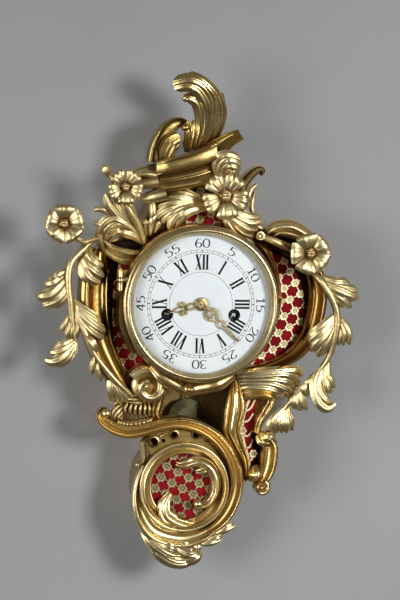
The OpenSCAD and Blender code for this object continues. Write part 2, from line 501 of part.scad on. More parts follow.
// Flowering branches that lie along both sides of the case.
module left_branch() color(gilt) {
    flower([-152, 94, 85], 20, 5);
    blade([[-112, 62, 70, 3, 3], [-124, 74, 67, 3, 3], [-136, 84, 70, 3, 3], [-150, 92, 84, 3, 3]], 6);
    blade([[-124, 74, 67, 3, 3], [-136, 78, 54, 3.5, 3.5], [-147, 80, 42, 3.5, 3.5], [-144, 80, 24, 3.5, 3.5], [-144, 78, 4, 4, 4], [-141, 76, -12, 4, 4],
        [-137, 76, -34, 4, 3.5], [-130, 76, -44, 3.5, 3], [-116, 74, -54, 4, 4], [-106, 70, -70, 4, 3.5], [-94, 66, -86, 4, 3], [-90, 64, -98, 3, 2.5]], 6);
    for (q = [[[-147, 80, 34], [-169, 84, 19], 6, 3], [[-148, 80, 26], [-179, 84, 9], 7, 3], [[-146, 80, 16], [-166, 82, -1], 7, 3], [[-130, 70, 58], [-127, 80, 40], 6, 7],
        [[-127, 80, 40], [-112, 80, 30], 7, 4], [[-128, 78, 34], [-110, 78, 24], 6, 3], [[-142, 78, 6], [-126, 78, -10], 4, 7], [[-126, 78, -10], [-110, 74, -25], 7, 3],
        [[-124, 78, -14], [-114, 74, -36], 6, 3], [[-141, 76, -14], [-152, 78, -30], 5, 2.5], [[-140, 76, -18], [-145, 78, -37], 5, 2.5], [[-137, 76, -38], [-160, 80, -54], 5, 4],
        [[-146, 76, -46], [-168, 80, -64], 6, 3], [[-142, 76, -46], [-158, 78, -69], 6, 3], [[-136, 76, -42], [-139, 76, -60], 5, 2.5], [[-112, 72, -62], [-115, 72, -75], 4, 2],
        [[-102, 70, -76], [-107, 70, -84], 4, 2], [[-90, 64, -94], [-99, 66, -112], 5, 3]]) lobe(q[0], q[1], q[2], q[3]);
}
module right_branch() color(gilt) {
    flower([127, 94, 55], 21, 75);
    blade([[120, 66, 40, 4, 4], [130, 78, 34, 4, 4], [142, 80, 20, 4, 4], [152, 80, 2, 4, 4], [157, 78, -24, 4, 4], [153, 76, -52, 4, 4], [142, 72, -69, 4, 4],
        [130, 68, -82, 3.5, 3.5], [118, 66, -95, 3.5, 3], [108, 66, -110, 3.5, 3], [100, 64, -124, 3, 3]], 6);
    blade([[126, 66, 30, 3, 3], [126, 76, 40, 3, 3], [127, 90, 54, 3, 3]], 6);
    for (q = [[[136, 78, 29], [168, 84, 24], 6, 3], [[138, 78, 26], [180, 84, 12], 7, 4], [[142, 78, 20], [176, 84, -1], 7, 4], [[146, 78, 14], [166, 82, -1], 6, 3],
        [[156, 78, -12], [172, 82, -38], 5, 3], [[156, 78, -18], [165, 82, -47], 5, 3], [[152, 78, -10], [134, 78, -32], 5, 5], [[134, 78, -32], [129, 74, -48], 7, 4],
        [[146, 76, -22], [136, 74, -58], 7, 3], [[150, 76, -56], [142, 76, -92], 4, 6], [[142, 76, -92], [147, 78, -114], 7, 4], [[147, 78, -112], [158, 80, -111], 5, 2.5],
        [[146, 76, -86], [156, 80, -95], 5, 2.5], [[126, 68, -88], [129, 70, -103], 4, 2], [[114, 66, -102], [125, 70, -120], 4, 2.5], [[102, 64, -120], [86, 66, -139], 4, 3],
        [[100, 64, -126], [94, 66, -142], 4, 3], [[102, 64, -124], [104, 66, -145], 4, 2.5]]) lobe(q[0], q[1], q[2], q[3]);
}

// The false plate that holds the movement and the dial in the dial ring, and its screws.
module false_plate() color("#b7995a") difference() {
    rod_at([0, 0], movement_front, movement_front + 2, false_plate_r);
    rod_at([0, 0], movement_front - 1, movement_front + 3, false_plate_in);
    for (a = false_screw_a) {
        rod_at((seat_in + 1.9) * [cos(a), sin(a)], movement_front - 1, movement_front + 3, 1.2);
        rod_at((plate_r - 3) * [cos(a), sin(a)], movement_front - 1, movement_front + 3, 1.2);
    }
    for (a = dial_feet_a) rod_at(dial_foot_r * [cos(a), sin(a)], movement_front - 1, movement_front + 3, 1.5);
}
dial_feet_a = [0, 120, 240];
dial_foot_r = dial_r - 5;
module false_plate_screws() for (a = false_screw_a, at = [seat_in + 1.9, plate_r - 3]) {
    p = at * [cos(a), sin(a)];
    rod_at(p, movement_front - (at > plate_r ? 6 : plate_t), movement_front + 2, 1.2);
    rod_at(p, movement_front + 2, movement_front + 3.4, 1.9);
}

// The enamel dial with its feet.
module dial() color("#eceff0") difference() {
    union() {
        rod_at([0, 0], dial_back, dial_front - 0.6, dial_r);
        facing(dial_front - 0.6) cylinder(r1 = dial_r, r2 = dial_r - 1, h = 0.6);
        for (a = dial_feet_a) rod_at(dial_foot_r * [cos(a), sin(a)], movement_front, dial_back + eps, 1.5);
    }
    rod_at([0, 0], dial_back - 1, dial_front + 1, hand_hole_r);
    for (s = [-1, 1]) rod_at([s * winding_x, -winding_drop], dial_back - 1, dial_front + 1, winding_hole_r);
}

// The movement's plates, with a pivot hole for each arbor.
winding_r = 3;
pipe_r = 4.2;
module plate_holes(y, front) {
    for (p = [third_at, escape_at, pin_wheel_at, fly_at]) rod_at(p, y - 1, y + plate_t + 1, pivot_r + run_gap);
    rod_at(pallet_at, y - 1, y + plate_t + 1, (front ? pivot_r : arbor_r) + run_gap);
    rod_at(hammer_at, y - 1, y + plate_t + 1, (front ? pivot_r : arbor_r) + run_gap);
    rod_at(centre_at, y - 1, y + plate_t + 1, (front ? arbor_r : pivot_r) + run_gap);
    for (p = [going_at, strike_at]) rod_at(p, y - 1, y + plate_t + 1, (front ? winding_r : pipe_r) + run_gap);
    for (p = pillar_at) rod_at(p, y - 1, y + plate_t + 1, pillar_r - 1.2);
}
module front_plate() color("#c9a95c") {
    bored_front();
    clicks();
}
module bored_front() difference() {
    union() {
        rod_at([0, 0], front_plate_in, movement_front, plate_r);
        rod_at(minute_wheel_at, movement_front - 1, hour_level + 3.5, 1.5);
    }
    plate_holes(front_plate_in, true);
    for (a = false_screw_a) rod_at((plate_r - 3) * [cos(a), sin(a)], front_plate_in - 1, movement_front + 1, 1.2);
}
module back_plate() color("#c9a95c") {
    bored_back();
    pillars();
}
module bored_back() difference() {
    rod_at([0, 0], movement_back, back_plate_in, plate_r);
    plate_holes(movement_back, false);
    rod_at(bell_at, movement_back - 1, back_plate_in + 1, 1.6);
    for (s = [-1, 1]) rod_at([4 * s, cock_z], movement_back - 1, back_plate_in + 1, 1);
}
module pillars() for (p = pillar_at) {
    rod_at(p, back_plate_in, front_plate_in, pillar_r);
    rod_at(p, movement_back - 1.5, movement_front, pillar_r - 1.2);
}

// A train arbor with a pivot in each plate.
module arbor(p) {
    rod_at(p, back_plate_in + 0.3, front_plate_in - 0.3, arbor_r);
    rod_at(p, movement_back, movement_front, pivot_r);
}
module gear(p, y, n, m, phase, t) facing_at(p, y) toothed(n, m, phase, t);
module crossed(p, y, r, t) for (k = [0:3]) rod_at(p + 0.56 * r * [cos(90 * k + 45), sin(90 * k + 45)], y - 1, y + t + 1, 0.26 * r);

// Spring barrels with their great wheels, turning on the winding arbors.
barrel_r = 29;
module barrel(p, wheel_y, m, rear) difference() {
    union() {
        rod_at(p, barrel_back, great_level + 2, barrel_r);
        gear(p, wheel_y, great_teeth, m, 0, 2.2);
        rod_at(p, rear, barrel_back + 1, pipe_r);
    }
    rod_at(p, rear - 1, great_level + 4, winding_r + run_gap);
}
module going_barrel() color("#c2a052") barrel(going_at, great_level, centre_m, movement_back);
module strike_barrel() color("#c2a052") barrel(strike_at, barrel_back, pin_m, movement_back - 4.5);
module winding_arbor(p, rear) {
    rod_at(p, rear, movement_front + 1.6, winding_r);
    facing_at(p, movement_front + 1.5) translate([-square_w / 2, -square_w / 2, 0]) cube([square_w, square_w, dial_back - movement_front - 2.5]);
    facing_at(p, movement_front + 0.4) linear_extrude(1.4) polygon([for (k = [0:17]) each [8.6 * [cos(20 * k), sin(20 * k)], 7 * [cos(20 * k + 3), sin(20 * k + 3)]]]);
}
module going_arbor() color("#87888c") winding_arbor(going_at, movement_back);
module strike_arbor() color("#87888c") winding_arbor(strike_at, movement_back - 4.5);
module clicks() for (p = [going_at, strike_at]) {
    rod_at(p + [0, 13.5], movement_front, movement_front + 2.4, 2.6);
    facing_at(p + [0, 13.5], movement_front + 0.4) linear_extrude(1.4) polygon([[-2, -2], [1, -4.4], [9, 0], [2.4, 2.4]]);
}

// The going train: centre arbor, third arbor, escape wheel and pallets.
module centre_arbor() color("#b99b58") {
    rod_at(centre_at, back_plate_in + 0.3, minute_hand_y + hand_t + 1.4, arbor_r);
    rod_at(centre_at, movement_back, back_plate_in + 1, pivot_r);
    gear(centre_at, great_level - 1, centre_leaves, centre_m, centre_phase, 4.2);
    difference() {
        gear(centre_at, centre_level, centre_teeth, third_m, 0, wheel_t);
        crossed(centre_at, centre_level, centre_teeth * third_m / 2, wheel_t);
    }
}
module third_arbor() color("#b99b58") {
    arbor(third_at);
    gear(third_at, centre_level - 1, pinion_leaves, third_m, third_phase, 3.6);
    difference() {
        gear(third_at, third_level, third_teeth, escape_m, 0, wheel_t);
        crossed(third_at, third_level, third_teeth * escape_m / 2, wheel_t);
    }
}
escape_r = 10;
module escape_arbor() color("#b99b58") {
    arbor(escape_at);
    gear(escape_at, third_level - 0.8, pinion_leaves, escape_m, escape_phase, 3.2);
    facing_at(escape_at, escape_level) linear_extrude(wheel_t) polygon([for (k = [0:escape_teeth - 1]) let (a = 360 * k / escape_teeth)
        each [escape_r * [cos(a), sin(a)], (escape_r - 1.6) * [cos(a + 3), sin(a + 3)]]]);
}
module pallets() color("#6d6f74") {
    rod_at(pallet_at, back_plate_in + 0.3, front_plate_in - 0.3, arbor_r);
    rod_at(pallet_at, front_plate_in - 1, movement_front, pivot_r);
    rod_at(pallet_at, crutch_y, back_plate_in + 1, arbor_r);
    facing_at(pallet_at, escape_level) linear_extrude(wheel_t) difference() {
        union() {
            circle(3.4);
            polygon([[-2, 2], [2, 2], [11, -4], [11.6, -10], [10.6, -10], [9, -5], [0, -2.4], [-9, -5], [-10.6, -10], [-11.6, -10], [-11, -4]]);
        }
        translate(escape_at - pallet_at) circle(escape_r + 0.4);
    }
    facing_at(pallet_at, crutch_y) linear_extrude(1.5) polygon([[-2.4, 2.4], [2.4, 2.4], [1.2, -40], [1.2, -56], [-1.2, -56], [-1.2, -40]]);
    for (s = [-1, 1]) facing_at(pallet_at + [s * (rod_r + 0.9), -54], pendulum_y - 2) translate([-0.6, -2, 0]) cube([1.2, 4, crutch_y - pendulum_y + 2.5]);
    facing_at(pallet_at + [0, -54], crutch_y) translate([-rod_r - 1.5, -2, 0]) cube([2 * rod_r + 3, 4, 1.5]);
}
crutch_y = pendulum_y + 6;

// The motion work between the front plate and the dial, and the hands.
cannon_r = 2.7;
hour_pipe_r = 4.2;
module cannon_pinion() color("#b99b58") difference() {
    union() {
        gear(centre_at, cannon_level - 0.4, cannon_leaves, minute_m, 0, 2.4);
        rod_at(centre_at, movement_front + 0.4, minute_hand_y + hand_t, cannon_r);
    }
    rod_at(centre_at, movement_front - 1, minute_hand_y + 3, arbor_r);
}
module minute_wheel() color("#b99b58") difference() {
    union() {
        gear(minute_wheel_at, cannon_level, minute_teeth, minute_m, minute_phase, wheel_t);
        rod_at(minute_wheel_at, cannon_level, hour_level + 2.2, 2.6);
        gear(minute_wheel_at, hour_level - 0.4, minute_leaves, hour_m, 0, 2.6);
    }
    rod_at(minute_wheel_at, cannon_level - 1, hour_level + 4, 1.5 + run_gap);
}
module hour_wheel() color("#b99b58") difference() {
    union() {
        gear(centre_at, hour_level, hour_teeth, hour_m, hour_phase, wheel_t);
        rod_at(centre_at, hour_level - 0.2, hour_hand_y + hand_t, hour_pipe_r);
    }
    rod_at(centre_at, hour_level - 1, hour_hand_y + 3, cannon_r + run_gap);
}
module hour_hand() color("#b8954a") facing(hour_hand_y) rotate(-hour_angle) linear_extrude(hand_t) difference() {
    union() {
        circle(6.6);
        polygon(concat(hand_side(hour_shape, 1), hand_side(hour_shape, -1, true)));
    }
    circle(hour_pipe_r);
    translate([0, 0.44 * hour_hand_l]) scale([1, 1.5]) circle(2.4, $fn = 12);
}
module minute_hand() color("#b8954a") {
    minute_blade();
    hand_collet();
}
module minute_blade() facing(minute_hand_y) rotate(-minute_angle) linear_extrude(hand_t) difference() {
    union() {
        circle(5);
        polygon(concat(hand_side(minute_shape, 1), hand_side(minute_shape, -1, true)));
    }
    circle(cannon_r);
    polygon([[0, 9.5], [3.6, 14], [0, 22], [-3.6, 14]]);
}
module hand_collet() difference() {
    facing(minute_hand_y + hand_t) cylinder(r1 = 3.8, r2 = 3, h = 0.6);
    rod_at(centre_at, minute_hand_y, minute_hand_y + hand_t + 3, arbor_r);
}
hour_shape = [[3, 5], [2, 8], [5.4, 0.44 * hour_hand_l], [2, 0.62 * hour_hand_l], [4.2, 0.72 * hour_hand_l], [0.8, 0.84 * hour_hand_l], [0.3, hour_hand_l]];
minute_shape = [[2.4, 4], [1.8, 7], [6, 14], [1.6, 25], [3.2, 0.56 * minute_hand_l], [1.6, 0.66 * minute_hand_l], [0.3, minute_hand_l]];
function hand_side(s, k, back = false) = [for (i = [0:len(s) - 1]) let (p = s[back ? len(s) - 1 - i : i]) [k * p[0], p[1]]];

// The strike train: pin wheel, fly, count wheel, hammer and bell.
module pin_wheel() color("#b99b58") {
    arbor(pin_wheel_at);
    gear(pin_wheel_at, barrel_back - 0.6, pinion_leaves, pin_m, pin_phase, 3.4);
    gear(pin_wheel_at, pin_level, great_teeth, fly_m, 0, wheel_t);
    for (k = [0:strike_pins - 1]) rod_at(pin_wheel_at + 14 * [cos(360 * k / strike_pins + 11), sin(360 * k / strike_pins + 11)], pin_level - 2.6, pin_level + eps, 0.8);
}
module fly() color("#b99b58") {
    arbor(fly_at);
    gear(fly_at, pin_level - 0.8, pinion_leaves, fly_m, fly_phase, 3.2);
    facing_at(fly_at, pin_level + 10) translate([-7.5, -0.5, 0]) cube([15, 1, 16]);
}
module count_wheel() color("#c9a95c") facing_at(strike_at, movement_back - 4) linear_extrude(1.5) difference() {
    circle(21);
    circle(pipe_r);
    for (k = [0:11]) rotate(90 - k * (k + 3) * 180 / 90) translate([0, 21]) square([2.4, 5], center = true);
    for (k = [0:3]) rotate(90 * k + 45) translate([0, 12]) circle(4.2);
}
hammer_head = [-57.4, 50];
module hammer() color("#6d6f74") {
    rod_at(hammer_at, back_plate_in + 0.3, front_plate_in - 0.3, arbor_r);
    rod_at(hammer_at, front_plate_in - 1, movement_front, pivot_r);
    rod_at(hammer_at, movement_back - 4, back_plate_in + 1, arbor_r);
    facing_at(hammer_at, movement_back - 3.6) linear_extrude(1.6) polygon([[-2.4, -2.4], [2.4, -2.4], [1, 12], [-0.6, 17.4], [-3.8, 17.4], [-1, 12]]);
    rod_at(hammer_head, movement_back - 12, movement_back - 3, 2.6);
    facing_at(hammer_at, pin_level - 2.4) linear_extrude(1.4) polygon([[-2.4, -2.4], [-2.4, 2.4], [2, 2.4], [12, -4], [11.4, -5.6], [1, -2.4]]);
}
bell_front = movement_back - 5.5;
module bell() color("#b8a36a") {
    bell_cup();
    bell_post();
}
module bell_cup() facing_at(bell_at, bell_front - 13) rotate_extrude() polygon([[1.6, 0], [7, 0], [15, 1.6], [20, 4.8], [22.6, 9], [bell_r - 0.4, 13],
    [bell_r - 0.4 - bell_t, 13], [22.6 - bell_t, 9.4], [19.2, 5.8], [14.6, 3], [7, bell_t], [1.6, bell_t]]);
module bell_post() {
    rod_at(bell_at, bell_front - 14.6, back_plate_in, 1.6);
    rod_at(bell_at, bell_front - 13 + bell_t, movement_back, 3);
    rod_at(bell_at, bell_front - 15.6, bell_front - 13, 3.6);
}

// The suspension cock and the pendulum.
suspension_pin_r = 1.3;
module suspension_cock() color("#c9a95c") {
    facing_at([0, cock_z], pendulum_y - 4) translate([-7, -4, 0]) cube([14, 8, movement_back - pendulum_y + 4]);
    facing_at([0, suspension_z], pendulum_y - 4) translate([-3.2, -3, 0]) cube([6.4, cock_z - suspension_z + 1, 2]);
    rod_at(pallet_at, pendulum_y - 4, pendulum_y + 2.5, suspension_pin_r);
    for (s = [-1, 1]) rod_at([4 * s, cock_z], movement_back - 1, back_plate_in, 1);
}
module pendulum_rod() color("#9a8a55") {
    rod_with_eye();
    rating_nut();
}
module rod_with_eye() difference() {
    union() {
        rod_at(pallet_at, pendulum_y - 1.5, pendulum_y + 1.5, 3.2);
        translate([0, -pendulum_y, suspension_z - pendulum_l - bob_r - 12]) cylinder(r = rod_r, h = pendulum_l + bob_r + 10);
    }
    rod_at(pallet_at, pendulum_y - 3, pendulum_y + 3, suspension_pin_r + run_gap);
}
module pendulum_bob() color("#9c9350") facing_at([0, suspension_z - pendulum_l], pendulum_y + rod_r) {
    cylinder(r = bob_r, h = 0.3 * bob_t);
    translate([0, 0, 0.3 * bob_t]) cylinder(r1 = bob_r, r2 = 0.55 * bob_r, h = 0.5 * bob_t);
}
module rating_nut() difference() {
    translate([0, -pendulum_y, suspension_z - pendulum_l - bob_r - 3.4]) cylinder(r = 3.6, h = 3.4);
    translate([0, -pendulum_y, suspension_z - pendulum_l - bob_r - 4]) cylinder(r = rod_r, h = 5);
}

// The bezel door with its glass, hinge and catch.
bezel_in = dial_r - bezel_lap;
bezel_out = ring_out + 2;
glass_seat_r = bezel_in + 2.4;
bezel_gap = 0.3;
hinge_at = [-bezel_out - 3.5, ring_front + 3];
knuckle_r = hinge_pin_r + 1.7;
module bezel() color("#d8bd78") difference() {
    union() {
        facing(ring_front) rotate_extrude() polygon([[glass_seat_r + 0.8, bezel_gap], [bezel_out, bezel_gap], [bezel_out, 4], [bezel_out - 1.6, 5.6],
            [bezel_out - 1, 0.75 * bezel_h], [bezel_out - 2.6, bezel_h - 1], [bezel_out - 4.6, bezel_h], [bezel_out - 6.4, bezel_h - 1.2], [bezel_in + 2.6, 8.2],
            [bezel_in + 0.8, 6.8], [bezel_in, 5.2], [glass_seat_r, 4.8], [glass_seat_r, 1.5], [glass_seat_r + 0.8, 1.5]]);
        translate([hinge_at[0], -hinge_at[1] - 1.4, hinge_z - knuckle_l / 2 + 0.15]) cube([8.5, 2.8, knuckle_l - 0.3]);
        translate([hinge_at[0], -hinge_at[1], hinge_z - knuckle_l / 2 + 0.15]) cylinder(r = knuckle_r, h = knuckle_l - 0.3);
    }
    translate([hinge_at[0], -hinge_at[1], hinge_z - knuckle_l]) cylinder(r = hinge_pin_r + run_gap, h = 2 * knuckle_l);
    rod_at([0, 0], ring_front - 1, ring_front + 4.8, glass_seat_r);
}
dome_r = (pow(glass_seat_r, 2) + pow(glass_rise, 2)) / (2 * glass_rise);
module bezel_glass() color([0.86, 0.9, 0.92, 0.3]) translate([0, -ring_front - 2.2, 0]) difference() {
    intersection() {
        translate([0, dome_r - glass_rise - glass_t, 0]) sphere(dome_r);
        rotate([90, 0, 0]) cylinder(r = glass_seat_r, h = 2 * glass_rise);
    }
    translate([0, dome_r - glass_rise, 0]) sphere(dome_r);
}
module bezel_hinge() color("#b99b58") {
    hinge_leaf();
    hinge_pin();
}
module hinge_leaf() difference() {
    for (s = [-1, 1]) translate([hinge_at[0], 0, hinge_z + s * knuckle_l]) {
        translate([0, -hinge_at[1], -knuckle_l / 2]) cylinder(r = knuckle_r, h = knuckle_l);
        translate([-knuckle_r, -ring_front + 0.2, -knuckle_l / 2]) cube([2 * knuckle_r, 6, knuckle_l]);
        translate([-knuckle_r, -ring_front + 3, -knuckle_l / 2]) cube([18, 3, knuckle_l]);
    }
    translate([hinge_at[0], -hinge_at[1], hinge_z - 2 * knuckle_l]) cylinder(r = hinge_pin_r, h = 4 * knuckle_l);
    rod_at([0, 0], ring_front - 12, ring_front + 8, ring_out);
}
module hinge_pin() translate([hinge_at[0], -hinge_at[1], hinge_z - 1.5 * knuckle_l - 0.8]) {
    cylinder(r = hinge_pin_r, h = 3 * knuckle_l + 1.6);
    sphere(hinge_pin_r + 0.7);
    translate([0, 0, 3 * knuckle_l + 1.6]) sphere(hinge_pin_r + 0.7);
}
module bezel_catch() difference() {
    union() {
        rod_at([bezel_out + 4, 5], ring_front - 8, ring_front + 6, 2.6);
        facing_at([ring_out - 3, 1], ring_front - 8) cube([8, 8, 6]);
    }
    rod_at([0, 0], ring_front - 12, ring_front + 8, ring_out);
}

// Which sub-part is drawn

hung() case_back();
hung() screws();
hung() case_band();
hung() dial_ring();
hung() silk_panels();
hung() trellis_left();
hung() trellis_right();
hung() trellis_roundel();
hung() trellis_small();
hung() left_frame();
hung() right_frame();
hung() right_arch();
hung() left_volute();
hung() lower_band();
hung() lower_frame();
hung() lower_leg();
hung() roundel_ring();
hung() roundel_scroll();
hung() roundel_leaf();
hung() left_shell();
hung() gallery();
hung() lower_bracket();
hung() right_wing();
hung() cornice();
hung() plume();
hung() arch_leaf();
hung() left_top_spray();
hung() left_top_scroll();
hung() centre_leaf();
hung() right_top_spray();
hung() left_branch();
hung() right_branch();
hung() false_plate();
hung() dial();
hung() front_plate();
hung() back_plate();
hung() going_barrel();
hung() going_arbor();
hung() strike_barrel();
hung() strike_arbor();
hung() count_wheel();
hung() pin_wheel();
hung() fly();
hung() hammer();
hung() bell();
hung() centre_arbor();
hung() cannon_pinion();
hung() minute_hand();
hung() hour_wheel();
hung() hour_hand();
hung() minute_wheel();
hung() third_arbor();
hung() escape_arbor();
hung() pallets();
hung() suspension_cock();
hung() pendulum_rod();
hung() pendulum_bob();
hung() bezel();
hung() bezel_glass();
hung() bezel_hinge();
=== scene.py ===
import math
import bpy
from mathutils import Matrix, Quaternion, Vector


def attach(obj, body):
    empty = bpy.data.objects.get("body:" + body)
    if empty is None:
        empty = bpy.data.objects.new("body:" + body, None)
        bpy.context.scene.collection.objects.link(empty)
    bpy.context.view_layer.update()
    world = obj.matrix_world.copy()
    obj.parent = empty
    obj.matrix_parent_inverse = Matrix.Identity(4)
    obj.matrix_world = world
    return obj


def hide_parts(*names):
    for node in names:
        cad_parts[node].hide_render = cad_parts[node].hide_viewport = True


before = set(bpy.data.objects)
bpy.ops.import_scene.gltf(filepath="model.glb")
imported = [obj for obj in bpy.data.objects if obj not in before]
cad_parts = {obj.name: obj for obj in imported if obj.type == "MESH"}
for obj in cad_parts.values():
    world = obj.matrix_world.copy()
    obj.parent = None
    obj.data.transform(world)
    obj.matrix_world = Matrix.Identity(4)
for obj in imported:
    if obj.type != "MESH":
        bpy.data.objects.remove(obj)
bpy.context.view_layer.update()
bpy.context.scene.view_settings.view_transform = "Standard"


# The back of the case is a brass plate that lies on the wall, darkened by age, with a hanging
# hole, a round service opening and countersunk steel screws into the lugs of the side wall.
def new_group(name, inputs, outputs):
    """A shader node group with its named sockets."""
    tree = bpy.data.node_groups.new(name, "ShaderNodeTree")
    for direction, sockets in (("INPUT", inputs), ("OUTPUT", outputs)):
        for label, kind in sockets:
            tree.interface.new_socket(label, in_out=direction, socket_type="NodeSocket" + kind)
    return tree, tree.nodes.new("NodeGroupInput").outputs, tree.nodes.new("NodeGroupOutput").inputs


def node(tree, kind, settings=None, **sockets):
    """Adds a shader node, sets its properties and fills or links its sockets. A socket goes by its name, or
    by the letter i and its number."""
    made = tree.nodes.new("ShaderNode" + kind)
    for key, value in (settings or {}).items():
        setattr(made, key, value)
    for key, value in sockets.items():
        by_number = key[0] == "i" and key[1:].isdigit()
        spot = made.inputs[int(key[1:]) if by_number else key.replace("_", " ")]
        if isinstance(value, bpy.types.NodeSocket):
            tree.links.new(value, spot)
        else:
            spot.default_value = value
    return made


def mottling(tree, scale, detail=3.0):
    """A soft noise over the surface, about scale blotches to the metre."""
    where = node(tree, "TexCoord").outputs["Object"]
    return node(tree, "TexNoise", Vector=where, Scale=scale, Detail=detail).outputs["Fac"]


def spread(tree, value, low, high, to_low, to_high):
    """A value stretched from one range to another."""
    made = node(tree, "MapRange", Value=value, From_Min=low, From_Max=high, To_Min=to_low, To_Max=to_high)
    return made.outputs[0]


def blend(tree, how_much, first, second):
    """A colour between two, by a share of the second."""
    made = node(tree, "Mix", {"data_type": "RGBA"}, i0=how_much, i6=first, i7=second)
    return made.outputs[2]


def worked_out(tree, operation, *values):
    """The result of one arithmetic step on values of the surface."""
    sockets = {"i%d" % n: value for n, value in enumerate(values)}
    return node(tree, "Math", {"operation": operation}, **sockets).outputs[0]


# Aged metal with painted shade: the open surface keeps its colour, and the hollows and creases that
# ambient occlusion finds take a darker colour, partly dirt and old lacquer kept there and partly painted
# shade.
aged_and_shaded, given, result = new_group(
    "aged_metal_and_painted_shade",
    [("Open", "Color"), ("Hollow", "Color"), ("Reach", "Float"), ("Smooth", "Float"), ("Dull", "Float")],
    [("Colour", "Color"), ("Roughness", "Float"), ("Height", "Float")])
shelter = node(aged_and_shaded, "AmbientOcclusion", {"samples": 6}, Distance=given["Reach"]).outputs["AO"]
cloud = mottling(aged_and_shaded, 38.0, 4.0)
grain = mottling(aged_and_shaded, 900.0, 2.0)
clean_and_lit = spread(aged_and_shaded, shelter, 0.40, 0.98, 0.0, 1.0)
patchy = worked_out(aged_and_shaded, "MULTIPLY", clean_and_lit, spread(aged_and_shaded, cloud, 0.25, 0.75, 0.82, 1.06))
aged_and_shaded.links.new(blend(aged_and_shaded, patchy, given["Hollow"], given["Open"]), result["Colour"])
worn = worked_out(aged_and_shaded, "MULTIPLY_ADD", spread(aged_and_shaded, cloud, 0.3, 0.7, 0.0, 1.0), 0.10, given["Smooth"])
aged_and_shaded.links.new(spread(aged_and_shaded, clean_and_lit, 0.0, 1.0, given["Dull"], worn), result["Roughness"])
aged_and_shaded.links.new(worked_out(aged_and_shaded, "ADD", grain, mottling(aged_and_shaded, 260.0, 2.0)), result["Height"])


def blank(name, **constants):
    """A new material, its node tree and its shader, with the shader's constant values set."""
    finish = bpy.data.materials.new(name)
    finish.use_nodes = True
    shader = finish.node_tree.nodes["Principled BSDF"]
    for key, value in constants.items():
        shader.inputs[key.replace("_", " ")].default_value = value
    return finish, finish.node_tree, shader.inputs


def emboss(tree, shader, strength, distance, height):
    """Fine relief over a surface, from heights of at most a distance in metres."""
    relief = node(tree, "Bump", Strength=strength, Distance=distance, Height=height)
    tree.links.new(relief.outputs["Normal"], shader["Normal"])


def metal(name, open_colour, hollow_colour, reach, smooth, dull, bump):
    """A metal finish: its open colour, the darker colour in its hollows, partly dirt and partly painted
    shade, and how far these reach, in metres, the roughness of the open surface and of the hollows, and how
    much of the casting's grain shows."""
    finish, tree, shader = blank(name, Metallic=1.0)
    look = node(tree, "Group", {"node_tree": aged_and_shaded}, Open=(*open_colour, 1), Hollow=(*hollow_colour, 1),
                Reach=reach, Smooth=smooth, Dull=dull)
    tree.links.new(look.outputs["Colour"], shader["Base Color"])
    tree.links.new(look.outputs["Roughness"], shader["Roughness"])
    emboss(tree, shader, bump, 0.0004, look.outputs["Height"])
    return finish


def dress(finish, *nodes):
    """Gives CAD nodes that keep their shape a finish."""
    for name in nodes:
        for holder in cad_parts[name].material_slots:
            holder.material = finish


dark_brass = metal("dark_brass", (0.322, 0.217, 0.093), (0.24, 0.14, 0.06), 0.012, 0.40, 0.62, 0.6)
steel = metal("steel", (0.42, 0.42, 0.44), (0.14, 0.12, 0.11), 0.004, 0.24, 0.5, 0.25)
dress(dark_brass, "case_back")
dress(steel, "screws")

# The side wall is bent from sheet brass and thinly gilt. The cast ring round the dial stands on
# its front plane, and carries the catch of the bezel.
side_gilt = metal("side_gilt", (0.68, 0.51, 0.23), (0.30, 0.17, 0.05), 0.010, 0.34, 0.60, 0.4)
dress(side_gilt, "case_band")
burnished = metal("burnished_gold", (0.76, 0.585, 0.265), (0.28, 0.125, 0.016), 0.012, 0.20, 0.40, 0.25)
dress(burnished, "dial_ring")

# The movement: two polished brass plates on pillars, with the spring barrels, the trains on steel
# arbors, the count wheel and a bell of turned bell metal behind. The false plate holds it in the dial ring.
movement_brass = metal("movement_brass", (0.74, 0.55, 0.25), (0.30, 0.18, 0.06), 0.005, 0.22, 0.45, 0.2)
bell_metal = metal("bell_metal", (0.62, 0.50, 0.30), (0.25, 0.17, 0.09), 0.006, 0.26, 0.5, 0.3)
dress(movement_brass, "false_plate", "front_plate", "back_plate", "going_barrel", "strike_barrel",
      "count_wheel", "pin_wheel", "fly", "cannon_pinion", "hour_wheel", "minute_wheel", "third_arbor",
      "escape_arbor", "suspension_cock")
dress(bell_metal, "bell")
dress(steel, "centre_arbor", "going_arbor", "strike_arbor", "pallets", "hammer")

# The pendulum: a thin brass rod on its suspension and a lens-shaped bob with a green bloom.
aged_brass = metal("aged_brass", (0.15, 0.14, 0.07), (0.08, 0.07, 0.035), 0.006, 0.40, 0.6, 0.5)
dress(aged_brass, "pendulum_rod", "pendulum_bob")

# Crimson silk is stretched over card behind each pierced panel and glued at its edge. Each piece
# is cut to its window, so it lies flat with a slight slackness between the bars of the trellis.
MM = 0.001
HANG = 100.0
SILK_DEPTH = 54.5
SILK_CUT_BACK = 0.6
SILK_SLACK, SLACK_WAVES = 0.12, 450


def place(x, depth, z):
    """A point by millimetres right of the dial's axis, in front of the wall and above the axis."""
    return (x * MM, -depth * MM, (z - HANG) * MM)


def ring_arc(radius, start, end, steps):
    """Points (x, z) of an arc about the axis, between two bearings in degrees."""
    turns = [math.radians(start + (end - start) * i / steps) for i in range(steps + 1)]
    return [(radius * math.cos(a), radius * math.sin(a)) for a in turns]


